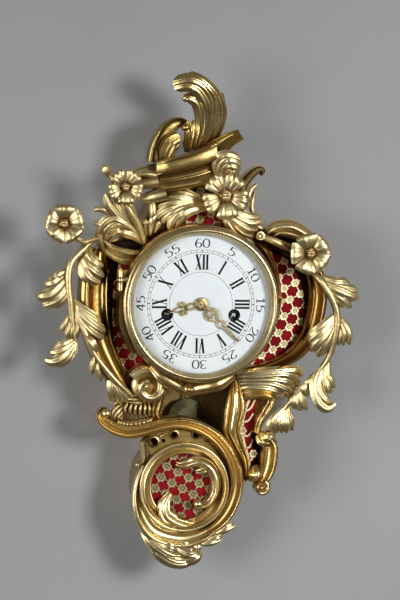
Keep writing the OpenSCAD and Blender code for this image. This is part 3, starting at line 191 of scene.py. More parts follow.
WINDOWS = {
    "left": [(-60, 66), (-84, 58), (-104, 46), (-114, 24), (-115, 0), (-111, -28), (-102, -54), (-89, -76),
             (-70, -90)] + ring_arc(83, 228, 136, 8),
    "right": [(60, 74), (92, 62), (116, 44), (130, 20), (131, 0), (127, -20), (118, -40), (104, -55),
              (86, -67), (62, -76)] + ring_arc(83, -48, 48, 8),
    "top": [(-42, 108), (-30, 118), (0, 126), (26, 116), (44, 88)] + ring_arc(83, 56, 122, 8),
    "lower": [(44, -106), (56, -98), (76, -104), (71, -128), (68, -150), (72, -178), (64, -194), (56, -180),
              (47, -160), (41, -140), (40, -120)],
    "roundel": [(x - 10, z - 208) for x, z in ring_arc(40, 0, -350, 35)],
}


def flat_area(outline):
    """The area inside an outline of (x, z)."""
    pairs = zip(outline, outline[1:] + outline[:1])
    return abs(sum(a[0] * b[1] - b[0] * a[1] for a, b in pairs)) / 2


def seat(piece, finish, slot, *nodes, body="case"):
    """Gives a finished piece its material and its body, and hides the CAD nodes it stands for. The slot is
    not used.
    """
    piece.data.materials.clear()
    piece.data.materials.append(finish)
    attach(piece, body)
    if nodes:
        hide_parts(*nodes)
    return piece


silk, weave, silk_shader = blank("crimson_silk", Sheen_Weight=0.04, Specular_IOR_Level=0.15,
                                 Sheen_Tint=(1.0, 0.55, 0.5, 1), Roughness=0.55)
threads = node(weave, "TexCoord").outputs["Object"]
warp, weft = [node(weave, "TexWave", {"bands_direction": way}, Vector=threads, Scale=700.0).outputs["Fac"]
              for way in ("X", "Z")]
faded = spread(weave, mottling(weave, 70.0, 4.0), 0.3, 0.7, 0.0, 1.0)
crimson = blend(weave, faded, (0.21, 0.002, 0.006, 1), (0.38, 0.005, 0.012, 1))
weave.links.new(crimson, silk_shader["Base Color"])
emboss(weave, silk_shader, 0.5, 0.0003, worked_out(weave, "MULTIPLY", warp, weft))

for name, outline in WINDOWS.items():
    middle = Vector((sum(x for x, z in outline), sum(z for x, z in outline))) / len(outline)
    cut = [Vector(corner) + (middle - Vector(corner)).normalized() * SILK_CUT_BACK for corner in outline]
    bpy.ops.object.select_all(action="DESELECT")
    bpy.ops.mesh.primitive_circle_add(vertices=len(cut), fill_type="NGON")
    cloth = bpy.context.object
    cloth.name = cloth.data.name = "silk_" + name
    for corner, (x, z) in zip(cloth.data.vertices, cut):
        corner.co = place(x, SILK_DEPTH, z)
    bpy.ops.object.mode_set(mode="EDIT")
    bpy.ops.mesh.select_all(action="SELECT")
    bpy.ops.mesh.quads_convert_to_tris()
    bpy.ops.mesh.subdivide(number_cuts=5)
    bpy.ops.object.mode_set(mode="OBJECT")
    for point in cloth.data.vertices:
        waves = math.sin(point.co.x * SLACK_WAVES) * math.sin(point.co.z * SLACK_WAVES)
        point.co.y += SILK_SLACK * MM * waves
    bpy.ops.object.shade_smooth()
    seat(cloth, silk, "silk", "silk_panels")
    width = (max(x for x, z in cut) - min(x for x, z in cut)) * MM
    flat_area(cut) * MM * MM

# Pierced trellis panels of cast and gilt bronze lie on the silk: thin bars on the diagonal, with
# a scalloped flower and a small boss on every crossing. Their rims are under the frame castings.
trellis_gold = metal("trellis_gold", (0.84, 0.74, 0.46), (0.30, 0.19, 0.06), 0.0025, 0.42, 0.55, 0.4)
# shaded_gold is a darker copy of the trellis gold for the top and roundel panels: painted shade for their
# deeper windows.
shaded_gold = metal("shaded_gold", (0.47, 0.40, 0.21), (0.16, 0.10, 0.04), 0.0025, 0.46, 0.6, 0.4)
PITCH = 14.0
BAR_BACK, BAR_FACE, BAR_HALF = 54.9, 56.1, 0.7
SHORTEST_BAR = 0.35
ROUNDEL_FLOWER = 1.14
LATTICES = {"left": (-96, -12, 27.5), "right": (107, 3, 27.5), "top": (-4, 104, 27.5),
            "roundel": (-3.5, -199, -28)}


def joined(name, pieces):
    """Joins pieces into one mesh under one name."""
    bpy.ops.object.select_all(action="DESELECT")
    for piece in pieces:
        piece.select_set(True)
    bpy.context.view_layer.objects.active = pieces[0]
    if len(pieces) > 1:
        bpy.ops.object.join()
    pieces[0].name = pieces[0].data.name = name
    return pieces[0]


def skin(name, rows, closed=False):
    """A surface through rows of points (x, depth, z). Closed rows make a tube with its ends filled."""
    bpy.ops.object.select_all(action="DESELECT")
    bpy.ops.mesh.primitive_grid_add(x_subdivisions=len(rows[0]) - 1 + closed, y_subdivisions=len(rows) - 1)
    piece = bpy.context.object
    piece.name = piece.data.name = name
    spots = [place(*p) for row in rows for p in (list(row) + [row[0]] if closed else row)]
    piece.data.vertices.foreach_set("co", [c for spot in spots for c in spot])
    if closed:
        bpy.ops.object.mode_set(mode="EDIT")
        bpy.ops.mesh.select_all(action="SELECT")
        bpy.ops.mesh.remove_doubles(threshold=1e-7)
        bpy.ops.mesh.fill_holes(sides=0)
        bpy.ops.mesh.select_all(action="SELECT")
        bpy.ops.mesh.normals_make_consistent(inside=False)
        bpy.ops.object.mode_set(mode="OBJECT")
    bpy.ops.object.shade_smooth_by_angle(angle=math.radians(60))
    return piece


def inside(outline, x, z):
    """Whether a point lies inside an outline of (x, z)."""
    hit = False
    for (ax, az), (bx, bz) in zip(outline, outline[1:] + outline[:1]):
        if (az > z) != (bz > z) and x < (bx - ax) * (z - az) / (bz - az) + ax:
            hit = not hit
    return hit


def copies(piece, places):
    """Copies of a piece drawn about the origin, each with its own mesh, at (x, depth, z)."""
    made = []
    for x, depth, z in places:
        twin = piece.copy()
        twin.data = piece.data.copy()
        bpy.context.collection.objects.link(twin)
        for point in twin.data.vertices:
            point.co += Vector(place(x, depth, z))
        made.append(twin)
    bpy.data.objects.remove(piece)
    return made


def trellis_flower(size=1.0):
    """One flower about the origin: six rounded petals, hollow towards a small boss."""
    bpy.ops.object.select_all(action="DESELECT")
    bpy.ops.mesh.primitive_circle_add(vertices=24, radius=0.0019 * size, fill_type="NGON",
                                      rotation=(math.radians(90), 0, 0))
    bpy.ops.object.transform_apply(rotation=True)
    bloom = bpy.context.object
    for point in bloom.data.vertices:
        point.co.y = -0.0002
    bpy.ops.object.mode_set(mode="EDIT")
    bpy.ops.mesh.select_all(action="SELECT")
    for grow, rise in ((1.32, -0.0013), (1.74, -0.0001), (0.98, 0.0016)):
        bpy.ops.mesh.extrude_region_move(TRANSFORM_OT_translate={"value": (0, rise, 0)})
        bpy.ops.transform.resize(value=(grow, 1, grow), center_override=(0, 0, 0))
    bpy.ops.mesh.delete(type="ONLY_FACE")
    bpy.ops.mesh.select_all(action="SELECT")
    bpy.ops.mesh.normals_make_consistent(inside=False)
    bpy.ops.object.mode_set(mode="OBJECT")
    for point in bloom.data.vertices:
        reach = math.hypot(point.co.x, point.co.z)
        outer = min(1, max(0, (reach - 0.002) / 0.002))
        petal = abs(math.cos(3 * math.atan2(point.co.z, point.co.x)))
        scallop = 1 + outer * 0.32 * (petal - 0.55)
        point.co.x *= scallop
        point.co.z *= scallop
    bpy.ops.mesh.primitive_uv_sphere_add(segments=8, ring_count=4, radius=0.0012, location=(0, -0.0003, 0))
    bpy.ops.object.transform_apply(location=True)
    bloom = joined("bloom", [bloom, bpy.context.object])
    bpy.ops.object.shade_smooth_by_angle(angle=math.radians(40))
    return bloom


for name, (x0, z0, turn) in LATTICES.items():
    outline = WINDOWS[name]
    ux, uz = math.cos(math.radians(turn)), math.sin(math.radians(turn))
    knots = {(i, j): (x0 + PITCH * (i * ux - j * uz), z0 + PITCH * (i * uz + j * ux))
             for i in range(-8, 9) for j in range(-8, 9)}
    kept = {key: spot for key, spot in knots.items() if inside(outline, *spot)}
    flowers = copies(trellis_flower(ROUNDEL_FLOWER if name == "roundel" else 1.0),
                     [(x, BAR_BACK, z) for x, z in kept.values()])
    bars = []
    for (i, j), (x, z) in kept.items():
        for di, dj in ((1, 0), (0, 1), (-1, 0), (0, -1)):
            across, up = di * ux - dj * uz, di * uz + dj * ux
            share = 1.0
            if (i + di, j + dj) not in kept:
                fits = [s / 10 for s in range(1, 11)
                        if inside(outline, x + PITCH * s / 10 * across, z + PITCH * s / 10 * up)]
                share = max(fits, default=0)
            elif di + dj < 0:
                continue
            if share < SHORTEST_BAR:
                continue
            dx, dz = across * PITCH * share, up * PITCH * share
            sx, sz = -dz / PITCH / share * BAR_HALF, dx / PITCH / share * BAR_HALF
            edges = ((-1, BAR_BACK), (-0.75, BAR_FACE), (0.75, BAR_FACE), (1, BAR_BACK))
            ends = [[(x + k * dx + side * sx, depth, z + k * dz + side * sz) for side, depth in edges]
                    for k in (0.0, 1.0)]
            bars.append(skin("bar", ends, closed=True))
    panel = joined("trellis_panel_" + name, flowers + bars)
    solid = "trellis_small" if name == "top" else "trellis_" + name
    seat(panel, trellis_gold if name in ("left", "right") else shaded_gold, "gilt_bronze", solid)


# The narrow panel in the lower cartouche is a scrolling branch, sawn from sheet and gilt, with three
# small flowers along it.
def eased(points, steps):
    """Points of a smooth curve through given points, each a tuple of numbers."""
    last = len(points) - 1
    path = []
    for i in range(last):
        near = (points[max(i - 1, 0)], points[i], points[i + 1], points[min(i + 2, last)])
        for k in range(steps):
            t = k / steps
            path.append(tuple(0.5 * (2 * q + (r - p) * t + (2 * p - 5 * q + 4 * r - s) * t * t
                                     + (3 * q - p - 3 * r + s) * t ** 3) for p, q, r, s in zip(*near)))
    path.append(tuple(points[last]))
    return path


def ribbon(points, widths, low, high):
    """A flat stroke of changing width through points (x, z), from one depth to another."""
    rows = []
    for i, ((x, z), width) in enumerate(zip(points, widths)):
        before, after = points[max(i - 1, 0)], points[min(i + 1, len(points) - 1)]
        run = Vector((after[0] - before[0], after[1] - before[1])).normalized() * width / 2
        left, right = (x - run.y, z + run.x), (x + run.y, z - run.x)
        corners = ((left, low), (left, high), (right, high), (right, low))
        rows.append([(spot[0], depth, spot[1]) for spot, depth in corners])
    return skin("stroke", rows, closed=True)


BRANCH = [[(68, -102), (62, -116), (58, -130), (57, -146), (60, -162), (65, -178), (66, -192)],
          [(61, -119), (54, -116), (49, -108)], [(60, -124), (66, -120), (71, -110)],
          [(58, -132), (51, -130), (45, -122)], [(58, -136), (64, -134), (69, -126)],
          [(57, -142), (50, -142), (44, -136)], [(57, -150), (63, -152), (68, -146)],
          [(58, -156), (52, -156), (47, -150)], [(61, -166), (66, -164), (69, -156)],
          [(62, -170), (57, -172), (54, -168)],
          [(65, -180), (69, -178), (70, -170)], [(64, -176), (60, -182), (58, -180)]]
STEM_WIDTH, TWIG_WIDTH = 2.6, 1.9
TWIG_FACE, TWIG_FLOWER_BACK = 55.9, 55.2
tracery = []
for line, width in zip(BRANCH, [STEM_WIDTH] + [TWIG_WIDTH] * len(BRANCH)):
    twig = eased(line, 6)
    tracery.append(ribbon(twig, [width] * len(twig), BAR_BACK, TWIG_FACE))
twig_flowers = [(x, TWIG_FLOWER_BACK, z) for x, z in ((57, -146), (66, -104), (70, -172))]
tracery += copies(trellis_flower(), twig_flowers)
seat(joined("trellis_panel_lower", tracery), trellis_gold, "gilt_bronze", "trellis_small")

# The frame castings: burnished bronze mouldings that bound the panels. Each was cast with a flat
# back, filed, burnished on its fillets and left ochre in its hollows, and is screwed from behind.
# The dark ochre in the frames' hollows is partly painted shade.
frame_gold = metal("frame_gold", (0.41, 0.29, 0.105), (0.20, 0.085, 0.010), 0.013, 0.20, 0.40, 0.25)
FRONT = 56.0
HOLLOW = [(-.5, 0), (-.5, .50), (-.48, .62), (-.43, .70), (-.38, .66), (-.35, .56), (-.30, .50),
          (-.20, .48), (-.08, .52), (.04, .62), (.13, .78), (.17, .93), (.20, .985), (.24, 1), (.28, .985),
          (.31, .90), (.35, .85), (.40, .84), (.45, .77), (.49, .60), (.5, .40), (.5, 0)]
HOLLOW_MIRRORED = [(-s, t) for s, t in reversed(HOLLOW)]


def moulding(name, route, section, depth=FRONT, steps=8):
    """A moulding along a route of (x, z, width, projection), with its back at a depth from the wall."""
    path = eased(route, steps)
    rows = []
    for i, (x, z, width, height) in enumerate(path):
        before, after = path[max(i - 1, 0)], path[min(i + 1, len(path) - 1)]
        run = Vector((after[0] - before[0], after[1] - before[1])).normalized()
        rows.append([(x + s * width * run.y, depth + t * height, z - s * width * run.x) for s, t in section])
    return skin(name, rows, closed=True)


def casting(solid, finish, parts):
    """Joins the parts of a gilt casting and puts it in the place of its solid."""
    return seat(joined(solid + "_casting", parts), finish, "gilt_bronze", solid)


casting("left_frame", frame_gold, [moulding("left_outline", [
    (-111, 58, 14, 14), (-115.5, 34, 30, 21), (-117, 6, 33, 22), (-115, -22, 33, 22), (-108, -48, 30, 22),
    (-96, -73, 26, 21), (-84, -91, 20, 18), (-76, -101, 11, 11)], HOLLOW)])
casting("right_frame", frame_gold, [moulding("right_outline", [
    (66, 74, 7, 11), (88, 66, 12, 16), (111, 56, 16, 20), (130, 39, 19, 22), (137, 14, 20, 22),
    (136, -8, 20, 22), (130, -33, 19, 22), (117, -53, 17, 22), (99, -66, 14, 20), (77, -74, 12, 17),
    (58, -77, 8, 13)], HOLLOW_MIRRORED)])

# Painted shadow: thin black strips close the gap between each panel and the frame above it and
# stand in for the shade in that deep gap. They are tucked under the castings' edges.
REVEAL = [(-.5, 0), (-.5, .6), (-.4, 1), (.4, 1), (.5, .6), (.5, 0)]
PAINTED_SHADOW_BACK = 54.6
shadow_black = metal("shadow_black", (0.030, 0.020, 0.012), (0.010, 0.006, 0.004), 0.004, 0.7, 0.8, 0.3)
painted_shadows = joined("panel_painted_shadows", [
    moulding("right_painted_shadow", [
        (86, 58, 5, 2), (106, 49, 6, 2), (120, 30, 7, 2), (126, 12, 7, 2), (127, -8, 7, 2),
        (124, -28, 7, 2), (116, -46, 6, 2), (104, -59, 5, 2), (93, -67, 3, 2)], REVEAL, PAINTED_SHADOW_BACK),
    moulding("arch_painted_shadow", [
        (78, 72, 6, 4), (89, 74, 11, 4), (102, 72, 12, 4), (115, 68, 12, 4), (128, 61, 8, 4)],
        REVEAL, PAINTED_SHADOW_BACK),
    moulding("left_painted_shadow", [
        (-93, 45, 13, 2), (-94, 33, 11, 2), (-96, 20, 8, 2), (-96, 6, 6, 2), (-96, -12, 5, 2),
        (-95, -31, 5, 2), (-92, -50, 5, 2), (-85, -69, 5, 2), (-76, -86, 4, 2)], REVEAL, PAINTED_SHADOW_BACK),
    moulding("arch_web_painted_shadow", [
        (-98, 61, 8, 4), (-86, 59, 16, 4), (-73, 60, 16, 4), (-61, 64, 8, 4)], REVEAL, PAINTED_SHADOW_BACK)])
seat(painted_shadows, shadow_black, "patinated_brass")

# The arch over the upper end of the right frame: two ogee mouldings, one inside the other, cast
# together and gilt matt.
matt_gold = metal("matt_gold", (0.77, 0.635, 0.335), (0.24, 0.12, 0.022), 0.007, 0.33, 0.52, 0.6)
OGEE = [(-.5, 0), (-.5, .40), (-.47, .50), (-.40, .56), (-.35, .53), (-.31, .55), (-.20, .76),
        (-.06, .95), (.08, 1), (.20, .95), (.29, .82), (.33, .70), (.38, .69), (.45, .60), (.49, .46),
        (.5, .34), (.5, 0)]
casting("right_arch", matt_gold, [
    moulding("arch_outer", [
        (77, 76, 5, 9), (82, 82, 11, 14), (92, 86, 14, 17), (105, 86, 14, 18), (118, 80, 13, 17),
        (130, 72, 11, 15), (136, 63, 7, 11)], OGEE),
    moulding("arch_inner", [
        (84, 74, 4, 8), (92, 79, 9, 11), (105, 78, 12, 12), (118, 73, 12, 12), (128, 67, 8, 10)], OGEE)])

# The lower castings: the volute at the left, the scrolled band over the roundel, the cartouche at
# the right with its leg, and the bracket below the bezel. All are gilt mouldings, and most end in curls.
bright_gold = metal("bright_gold", (0.92, 0.78, 0.44), (0.42, 0.25, 0.06), 0.009, 0.24, 0.45, 0.3)
band_gold = metal("band_gold", (0.82, 0.655, 0.31), (0.40, 0.24, 0.055), 0.010, 0.22, 0.42, 0.25)
REEDED = [(-.5, 0), (-.5, .46), (-.47, .62), (-.40, .74), (-.33, .76), (-.28, .70), (-.26, .66),
          (-.23, .72), (-.14, .94), (-.02, 1), (.10, .94), (.17, .76), (.20, .68), (.24, .74), (.33, .82),
          (.42, .74), (.48, .58), (.5, .44), (.5, 0)]
LINED = [(-.5, 0), (-.5, .86), (-.46, .95), (-.40, .96), (-.37, .92), (-.33, .96), (-.15, .99),
         (.05, 1), (.22, .98), (.27, .93), (.30, .97), (.42, .96), (.48, .90), (.5, .80), (.5, 0)]


def stations(path):
    """For each point of a path of (x, depth, z, size): its place, its size, and the directions to its side
    and outwards, square to the path."""
    made = []
    for i, (x, depth, z, size) in enumerate(path):
        before, after = path[max(i - 1, 0)], path[min(i + 1, len(path) - 1)]
        along = Vector((after[0] - before[0], before[1] - after[1], after[2] - before[2])).normalized()
        side = along.cross(Vector((0, -1, 0)))
        side = side.normalized() if side.length > 0.05 else Vector((1, 0, 0))
        made.append((Vector((x, -depth, z)), size, side, side.cross(along)))
    return made


def stem(name, route, sides=10, ridges=0.0):
    """A tapering stem along a route of (x, depth, z, radius), with five soft ridges where these are given."""
    rows = []
    for middle, radius, side, out in stations(eased(route, 5)):
        row = []
        for k in range(sides):
            turn = 2 * math.pi * k / sides
            r = radius * (1 + ridges * math.cos(5 * turn))
            spot = middle + side * r * math.cos(turn) + out * r * math.sin(turn)
            row.append((spot.x, -spot.y, spot.z))
        rows.append(row)
    return skin(name, rows, closed=True)


def ball(x, depth, z, radius):
    """A cast knob with a shallow groove round it, let into what carries it."""
    turns = [2 * math.pi * k / 16 for k in range(16)]
    rows = []
    for i in range(11):
        a = math.pi * (i / 10 - 0.5)
        r = max(radius * math.cos(a) * (0.95 if abs(a) < 0.2 else 1), 0.05)
        rows.append([(x + r * math.cos(b), depth + radius * math.sin(a), z + r * math.sin(b)) for b in turns])
    return skin("ball", rows, closed=True)


def fluted(name, spine, lobes=3, notch=0.28, short=(0.25, 0.25), cup=0.22, ridge=0.16, rib=0.012, curl=0.22,
           thick=1.7, teeth=0, bite=0.30):
    """A chased leaf along a spine of (x, depth, z, half width). Its rounded lobes lie side by side with faint
    ribs on each, those at the left and right edge are shorter by the two shares given, and the tips curl
    back. Teeth are the lobes down both sides, with a crease from each bite towards the middle."""
    frames = stations(eased(spine, 6))
    rows = []
    fine, down = 12, 18
    if teeth:
        down = 8 * teeth + 8
    elif lobes == 1:
        down = max(12, 4 * len(spine))
    for i in range(down + 1):
        v = i / down
        row = []
        for k in range(fine * lobes + 1):
            u = 2 * k / (fine * lobes) - 1
            part = (k / fine) % 1
            arch = 1 - (2 * part - 1) ** 2
            end = 1 - short[u > 0] * abs(u) ** 1.7 - notch * (1 - arch) ** 1.6
            t = v * end * (len(frames) - 1)
            n = min(int(t), len(frames) - 2)
            spot, width, side, out = frames[n]
            next_spot, next_width, next_side, next_out = frames[n + 1]
            t -= n
            width += (next_width - width) * t
            grown = min(1, 3 * v)
            bow = 1 - (2 * ((teeth * (v * end + 0.24 * (1 - abs(u)))) % 1) - 1) ** 2 if teeth else 1
            nip = (1 - bow) ** 2 * abs(u) * grown
            chased = ridge * 3 / max(lobes, 2) * (arch ** 0.7 - 1) + rib * math.cos(6 * math.pi * part)
            lift = width * (-cup * u * u + chased * grown - 0.16 * nip - curl * v ** 5)
            across = side.lerp(next_side, t) * width * u * (1 - bite * nip * u * u)
            spot = spot.lerp(next_spot, t) + across + out.lerp(next_out, t) * lift
            row.append((spot.x, -spot.y, spot.z))
        rows.append(row)
    piece = skin(name, rows)
    wall = piece.modifiers.new("thickness", "SOLIDIFY")
    wall.thickness = thick * MM
    wall.offset = -1.0
    bpy.ops.object.modifier_apply(modifier=wall.name)
    bpy.ops.object.shade_smooth_by_angle(angle=math.radians(50))
    return piece


def frond(name, spines, short=0.13, cup=0.40, curl=0.40, thick=1.8):
    """A chased leaf whose rounded lobes lie over each other, each along its own spine, with curled tips."""
    return [fluted(name, spine, lobes=1, notch=0, short=(short, short), cup=cup, ridge=0, rib=0.055,
                   curl=curl, thick=thick) for spine in spines]


def spiral(x, z, radius, eye, start, turns, width, height):
    """A route that winds in from a radius to its eye about a centre, from a bearing through some turns."""
    steps = int(16 * abs(turns)) + 1
    route = []
    for i in range(steps + 1):
        t = i / steps
        r, a = radius + (eye - radius) * t, math.radians(start + 360 * turns * t)
        spot = (x + r * math.cos(a), z + r * math.sin(a))
        route.append((*spot, width * (1 - 0.5 * t), height * (1 + 0.25 * t)))
    return route


casting("left_volute", bright_gold, [
    moulding("volute", spiral(-54, -94, 20, 6, 150, -1.15, 14, 21), LINED, steps=3),
    stem("volute_floor", [
        (-54, 57, -94, 20), (-54, 66, -94, 19), (-54, 70, -94, 12), (-54, 68, -94, 4)], sides=32),
    moulding("volute_tail", [
        (-40, -82, 8, 13), (-38, -96, 13, 17), (-41, -112, 13, 18), (-43, -124, 12, 17),
        (-38, -134, 7, 12)], REEDED),
    ball(-59, 74, -93, 6.5)])
casting("lower_band", band_gold, [
    moulding("band", [
        (-97, -123, 6, 10), (-103, -122, 9, 14), (-105, -130, 12, 17), (-95, -139, 14, 19),
        (-77, -145, 15, 20), (-58, -143, 15, 20), (-36, -137, 15, 20), (-15, -135, 15, 20),
        (6, -140, 15, 20), (24, -151, 15, 20), (38, -167, 15, 20), (47, -186, 15, 20), (50, -206, 15, 20),
        (46, -226, 15, 19), (37, -243, 14, 17), (24, -256, 11, 13), (8, -264, 7, 9)], HOLLOW_MIRRORED),
    ball(-100, 66, -124.5, 6)])
casting("lower_frame", band_gold, [
    moulding("cartouche_left", [
        (45, -86, 9, 12), (45, -102, 19, 18), (45, -118, 26, 20), (43, -132, 24, 20), (42, -144, 21, 20),
        (49, -161, 15, 19), (57, -178, 12, 18), (60, -197, 7, 12)], REEDED),
    moulding("cartouche_right", [
        (49, -109, 7, 12), (65, -104, 11, 17), (80, -104, 12, 19), (88, -109, 12, 19), (82, -122, 11.5, 18),
        (75, -134, 10, 17), (72, -147, 8, 14)], OGEE)])
casting("lower_leg", band_gold, [
    moulding("leg", [
        (74, -148, 7, 12), (82, -153, 13, 17), (87, -163, 18, 20), (87, -174, 19.5, 20),
        (85, -188, 18.5, 19), (81, -199, 15, 17), (78, -207, 10, 14)], HOLLOW_MIRRORED),
    moulding("foot_scroll", spiral(77, -208, 8, 3, 60, -1.1, 6, 19), LINED, steps=3), ball(77, 73, -208, 4)]
    + frond("leg_leaf", [
        [(70, 64, -184, 4.5), (72, 69, -191, 7), (71, 70, -198, 6.5), (67, 66, -204, 4.5)],
        [(67, 62, -186, 3.5), (68, 66, -193, 6), (67, 66, -199, 5.5), (64, 63, -203, 3.5)],
        [(74, 66, -146, 3.5), (80, 73, -150, 6), (86, 75, -152, 6.5), (94, 72, -159, 4.5)],
        [(73, 65, -149, 3.5), (77, 70, -156, 5.5), (84, 72, -157, 5.5), (92, 69, -160, 4)]], cup=0.5))
casting("lower_bracket", band_gold, [
    moulding("bracket", [
        (-53, -70, 7, 22), (-45, -78, 13, 28), (-35, -86, 15, 30), (-22, -93, 14, 31), (-14, -96, 13, 33),
        (-12, -97, 12, 34), (-9, -96, 13, 33), (-1, -94, 14, 31), (12, -92, 15, 30), (25, -88, 15, 30),
        (40, -79, 11, 24)], LINED, depth=58.0),
    fluted("point", [
        (-10, 90, -87, 4.5), (-12, 96, -92, 6), (-12, 96, -97, 4.5), (-12, 92, -101, 1.5)],
        cup=0.3, ridge=0.3)])

# The gadroons below the right frame sweep out from the cartouche in curved ridges, and each turns
# down into a rounded tip. They are one casting of six ridges, each a little under the one above it.
casting("right_wing", bright_gold, frond("ridge", [
        [(46, 70, -79, 2.5), (64, 74, -78, 5), (87, 76, -76, 5.5), (105, 75, -75, 5), (117, 72, -76, 5),
         (122, 67, -84, 3.5)],
        [(46, 69, -83, 2.5), (64, 74, -82, 5.5), (87, 76, -80, 6), (103, 75, -80, 5.5),
         (114, 71, -86, 5.5), (117, 66, -96, 4)],
        [(48, 68, -88, 2.5), (65, 73, -86, 5.5), (84, 75, -85, 6), (101, 74, -87, 6), (110, 70, -91, 5.5),
         (114, 65, -100, 3.5)],
        [(48, 67, -92, 2.5), (65, 72, -90, 5.5), (85, 74, -90, 6), (100, 72, -95, 6), (108, 69, -101, 5.5),
         (109, 64, -111, 4)],
        [(50, 66, -97, 2.5), (62, 71, -95, 5.5), (79, 73, -95, 6), (93, 71, -99, 6), (100, 67, -104, 5.5),
         (102, 62, -111, 4)],
        [(51, 64, -101, 2.5), (63, 68, -101, 5.5), (77, 70, -100, 5.5), (90, 68, -103, 5.5)]],
        short=0.09, cup=0.5, thick=3.0))

# The shell under the volute: seven flutes with a ruffle over them, two leaves at their left, a beaded
# stem under their tips, and a small hooked scroll beside the roundel. It is one casting, gilt matt.
shell = [
    fluted("shell", [
        (-60, 58, -103, 12), (-61, 67, -112, 17), (-62, 70, -121, 19.5), (-62, 65, -131, 18)],
        lobes=7, notch=0.10, short=(0.1, 0.1), cup=0.12, ridge=0.62, rib=0.0, thick=2.2),
    fluted("shell_wing", [(-78, 60, -100, 4), (-87, 66, -106, 8), (-93, 66, -115, 8)], lobes=2, teeth=2),
    fluted("shell_ruffle", [(-52, 62, -104, 5), (-64, 71, -108, 7), (-76, 71, -108, 6)], lobes=3, notch=0.3),
    fluted("shell_side", [
        (-76, 60, -116, 4), (-85, 67, -121, 7), (-90, 67, -130, 6), (-86, 64, -137, 3)],
        lobes=3, notch=0.1, ridge=0.3),
    stem("shell_base", [(-46, 60, -131, 4), (-60, 63, -136, 5), (-76, 63, -138, 5), (-90, 61, -133, 3)])]
shell += [ball(x, 68, z, 2.2) for x, z in eased([(-50, -132), (-62, -135.5), (-76, -136.5), (-86, -134)], 3)]
hook = moulding("hook", [
    (-49, -150, 4, 10), (-57, -158, 6, 12), (-56, -170, 6, 13), (-57, -179, 5, 12), (-64, -182, 4, 10)],
    OGEE, depth=56.5)
casting("left_shell", matt_gold, shell + [hook, ball(-63, 63, -182.5, 3)])


# The roundel: a turned ring with a bead and a deep hollow, an inner scroll that ends in a knob, and
# a hollow rim round its lower left with leaves and sprigs below. They are cast apart and gilt bright.
def turned(name, section, x, z, depth, steps=128):
    """A ring turned about an axis square to the wall, from a section of (radius, projection)."""
    bpy.ops.object.select_all(action="DESELECT")
    bpy.ops.mesh.primitive_circle_add(vertices=len(section), fill_type="NOTHING")
    ring = bpy.context.object
    ring.name = ring.data.name = name
    for point, (radius, reach) in zip(ring.data.vertices, section):
        point.co = place(x + radius, depth + reach, z)
    bpy.ops.object.mode_set(mode="EDIT")
    bpy.ops.mesh.select_all(action="SELECT")
    bpy.ops.mesh.spin(steps=steps, angle=2 * math.pi, center=place(x, depth, z), axis=(0, -1, 0))
    bpy.ops.mesh.select_all(action="SELECT")
    bpy.ops.mesh.remove_doubles(threshold=1e-7)
    bpy.ops.mesh.normals_make_consistent(inside=False)
    bpy.ops.object.mode_set(mode="OBJECT")
    bpy.ops.object.shade_smooth_by_angle(angle=math.radians(50))
    return ring


casting("roundel_ring", bright_gold, [turned("ring", [
    (37, 0), (37, 6.4), (37.5, 7.4), (38.4, 7.6), (39.2, 6.8), (40.2, 6.4), (41.6, 7.2), (43, 9.4),
    (44, 12.4), (44.6, 14.2), (45.6, 15), (46.6, 14.6), (47.2, 13.2), (48, 12.4), (49.6, 13), (50.7, 12.4),
    (51, 11), (51, 0)], -10, -208, FRONT)])
casting("roundel_scroll", bright_gold, [
    moulding("inner_scroll", [
        (-8, -184, 8, 8), (6, -179, 13, 12), (19, -185, 14, 14), (26, -198, 13, 15), (26, -213, 11, 15),
        (20, -224, 9, 14), (12, -229, 8, 13), (6, -227, 7, 11)], OGEE, depth=59.0),
    fluted("inner_tongue", [
        (6, 63, -176, 5), (-4, 66, -181, 6), (-14, 65, -183, 5), (-20, 63, -181, 3)], lobes=2),
    fluted("inner_tongue", [(20, 64, -182, 5), (12, 68, -189, 5.5), (2, 66, -191, 3)], lobes=2),
    fluted("inner_leaf", [
        (-24, 62, -216, 4), (-31, 68, -227, 8), (-30, 70, -240, 10), (-18, 70, -249, 10), (-2, 68, -253, 8),
        (12, 66, -251, 5)], lobes=3, notch=0.06, short=(0.1, 0.1), cup=0.4, thick=2.4, teeth=3, bite=0.2),
    ball(6, 67, -227, 5.5)])
rim = moulding("rim", [
    (-54, -184, 8, 9), (-60, -200, 11, 12), (-62, -220, 14, 14), (-57, -241, 18, 16), (-45, -258, 20, 16),
    (-28, -266, 21, 15), (-8, -269, 20, 14), (12, -264, 16, 13), (30, -254, 10, 10)], HOLLOW)
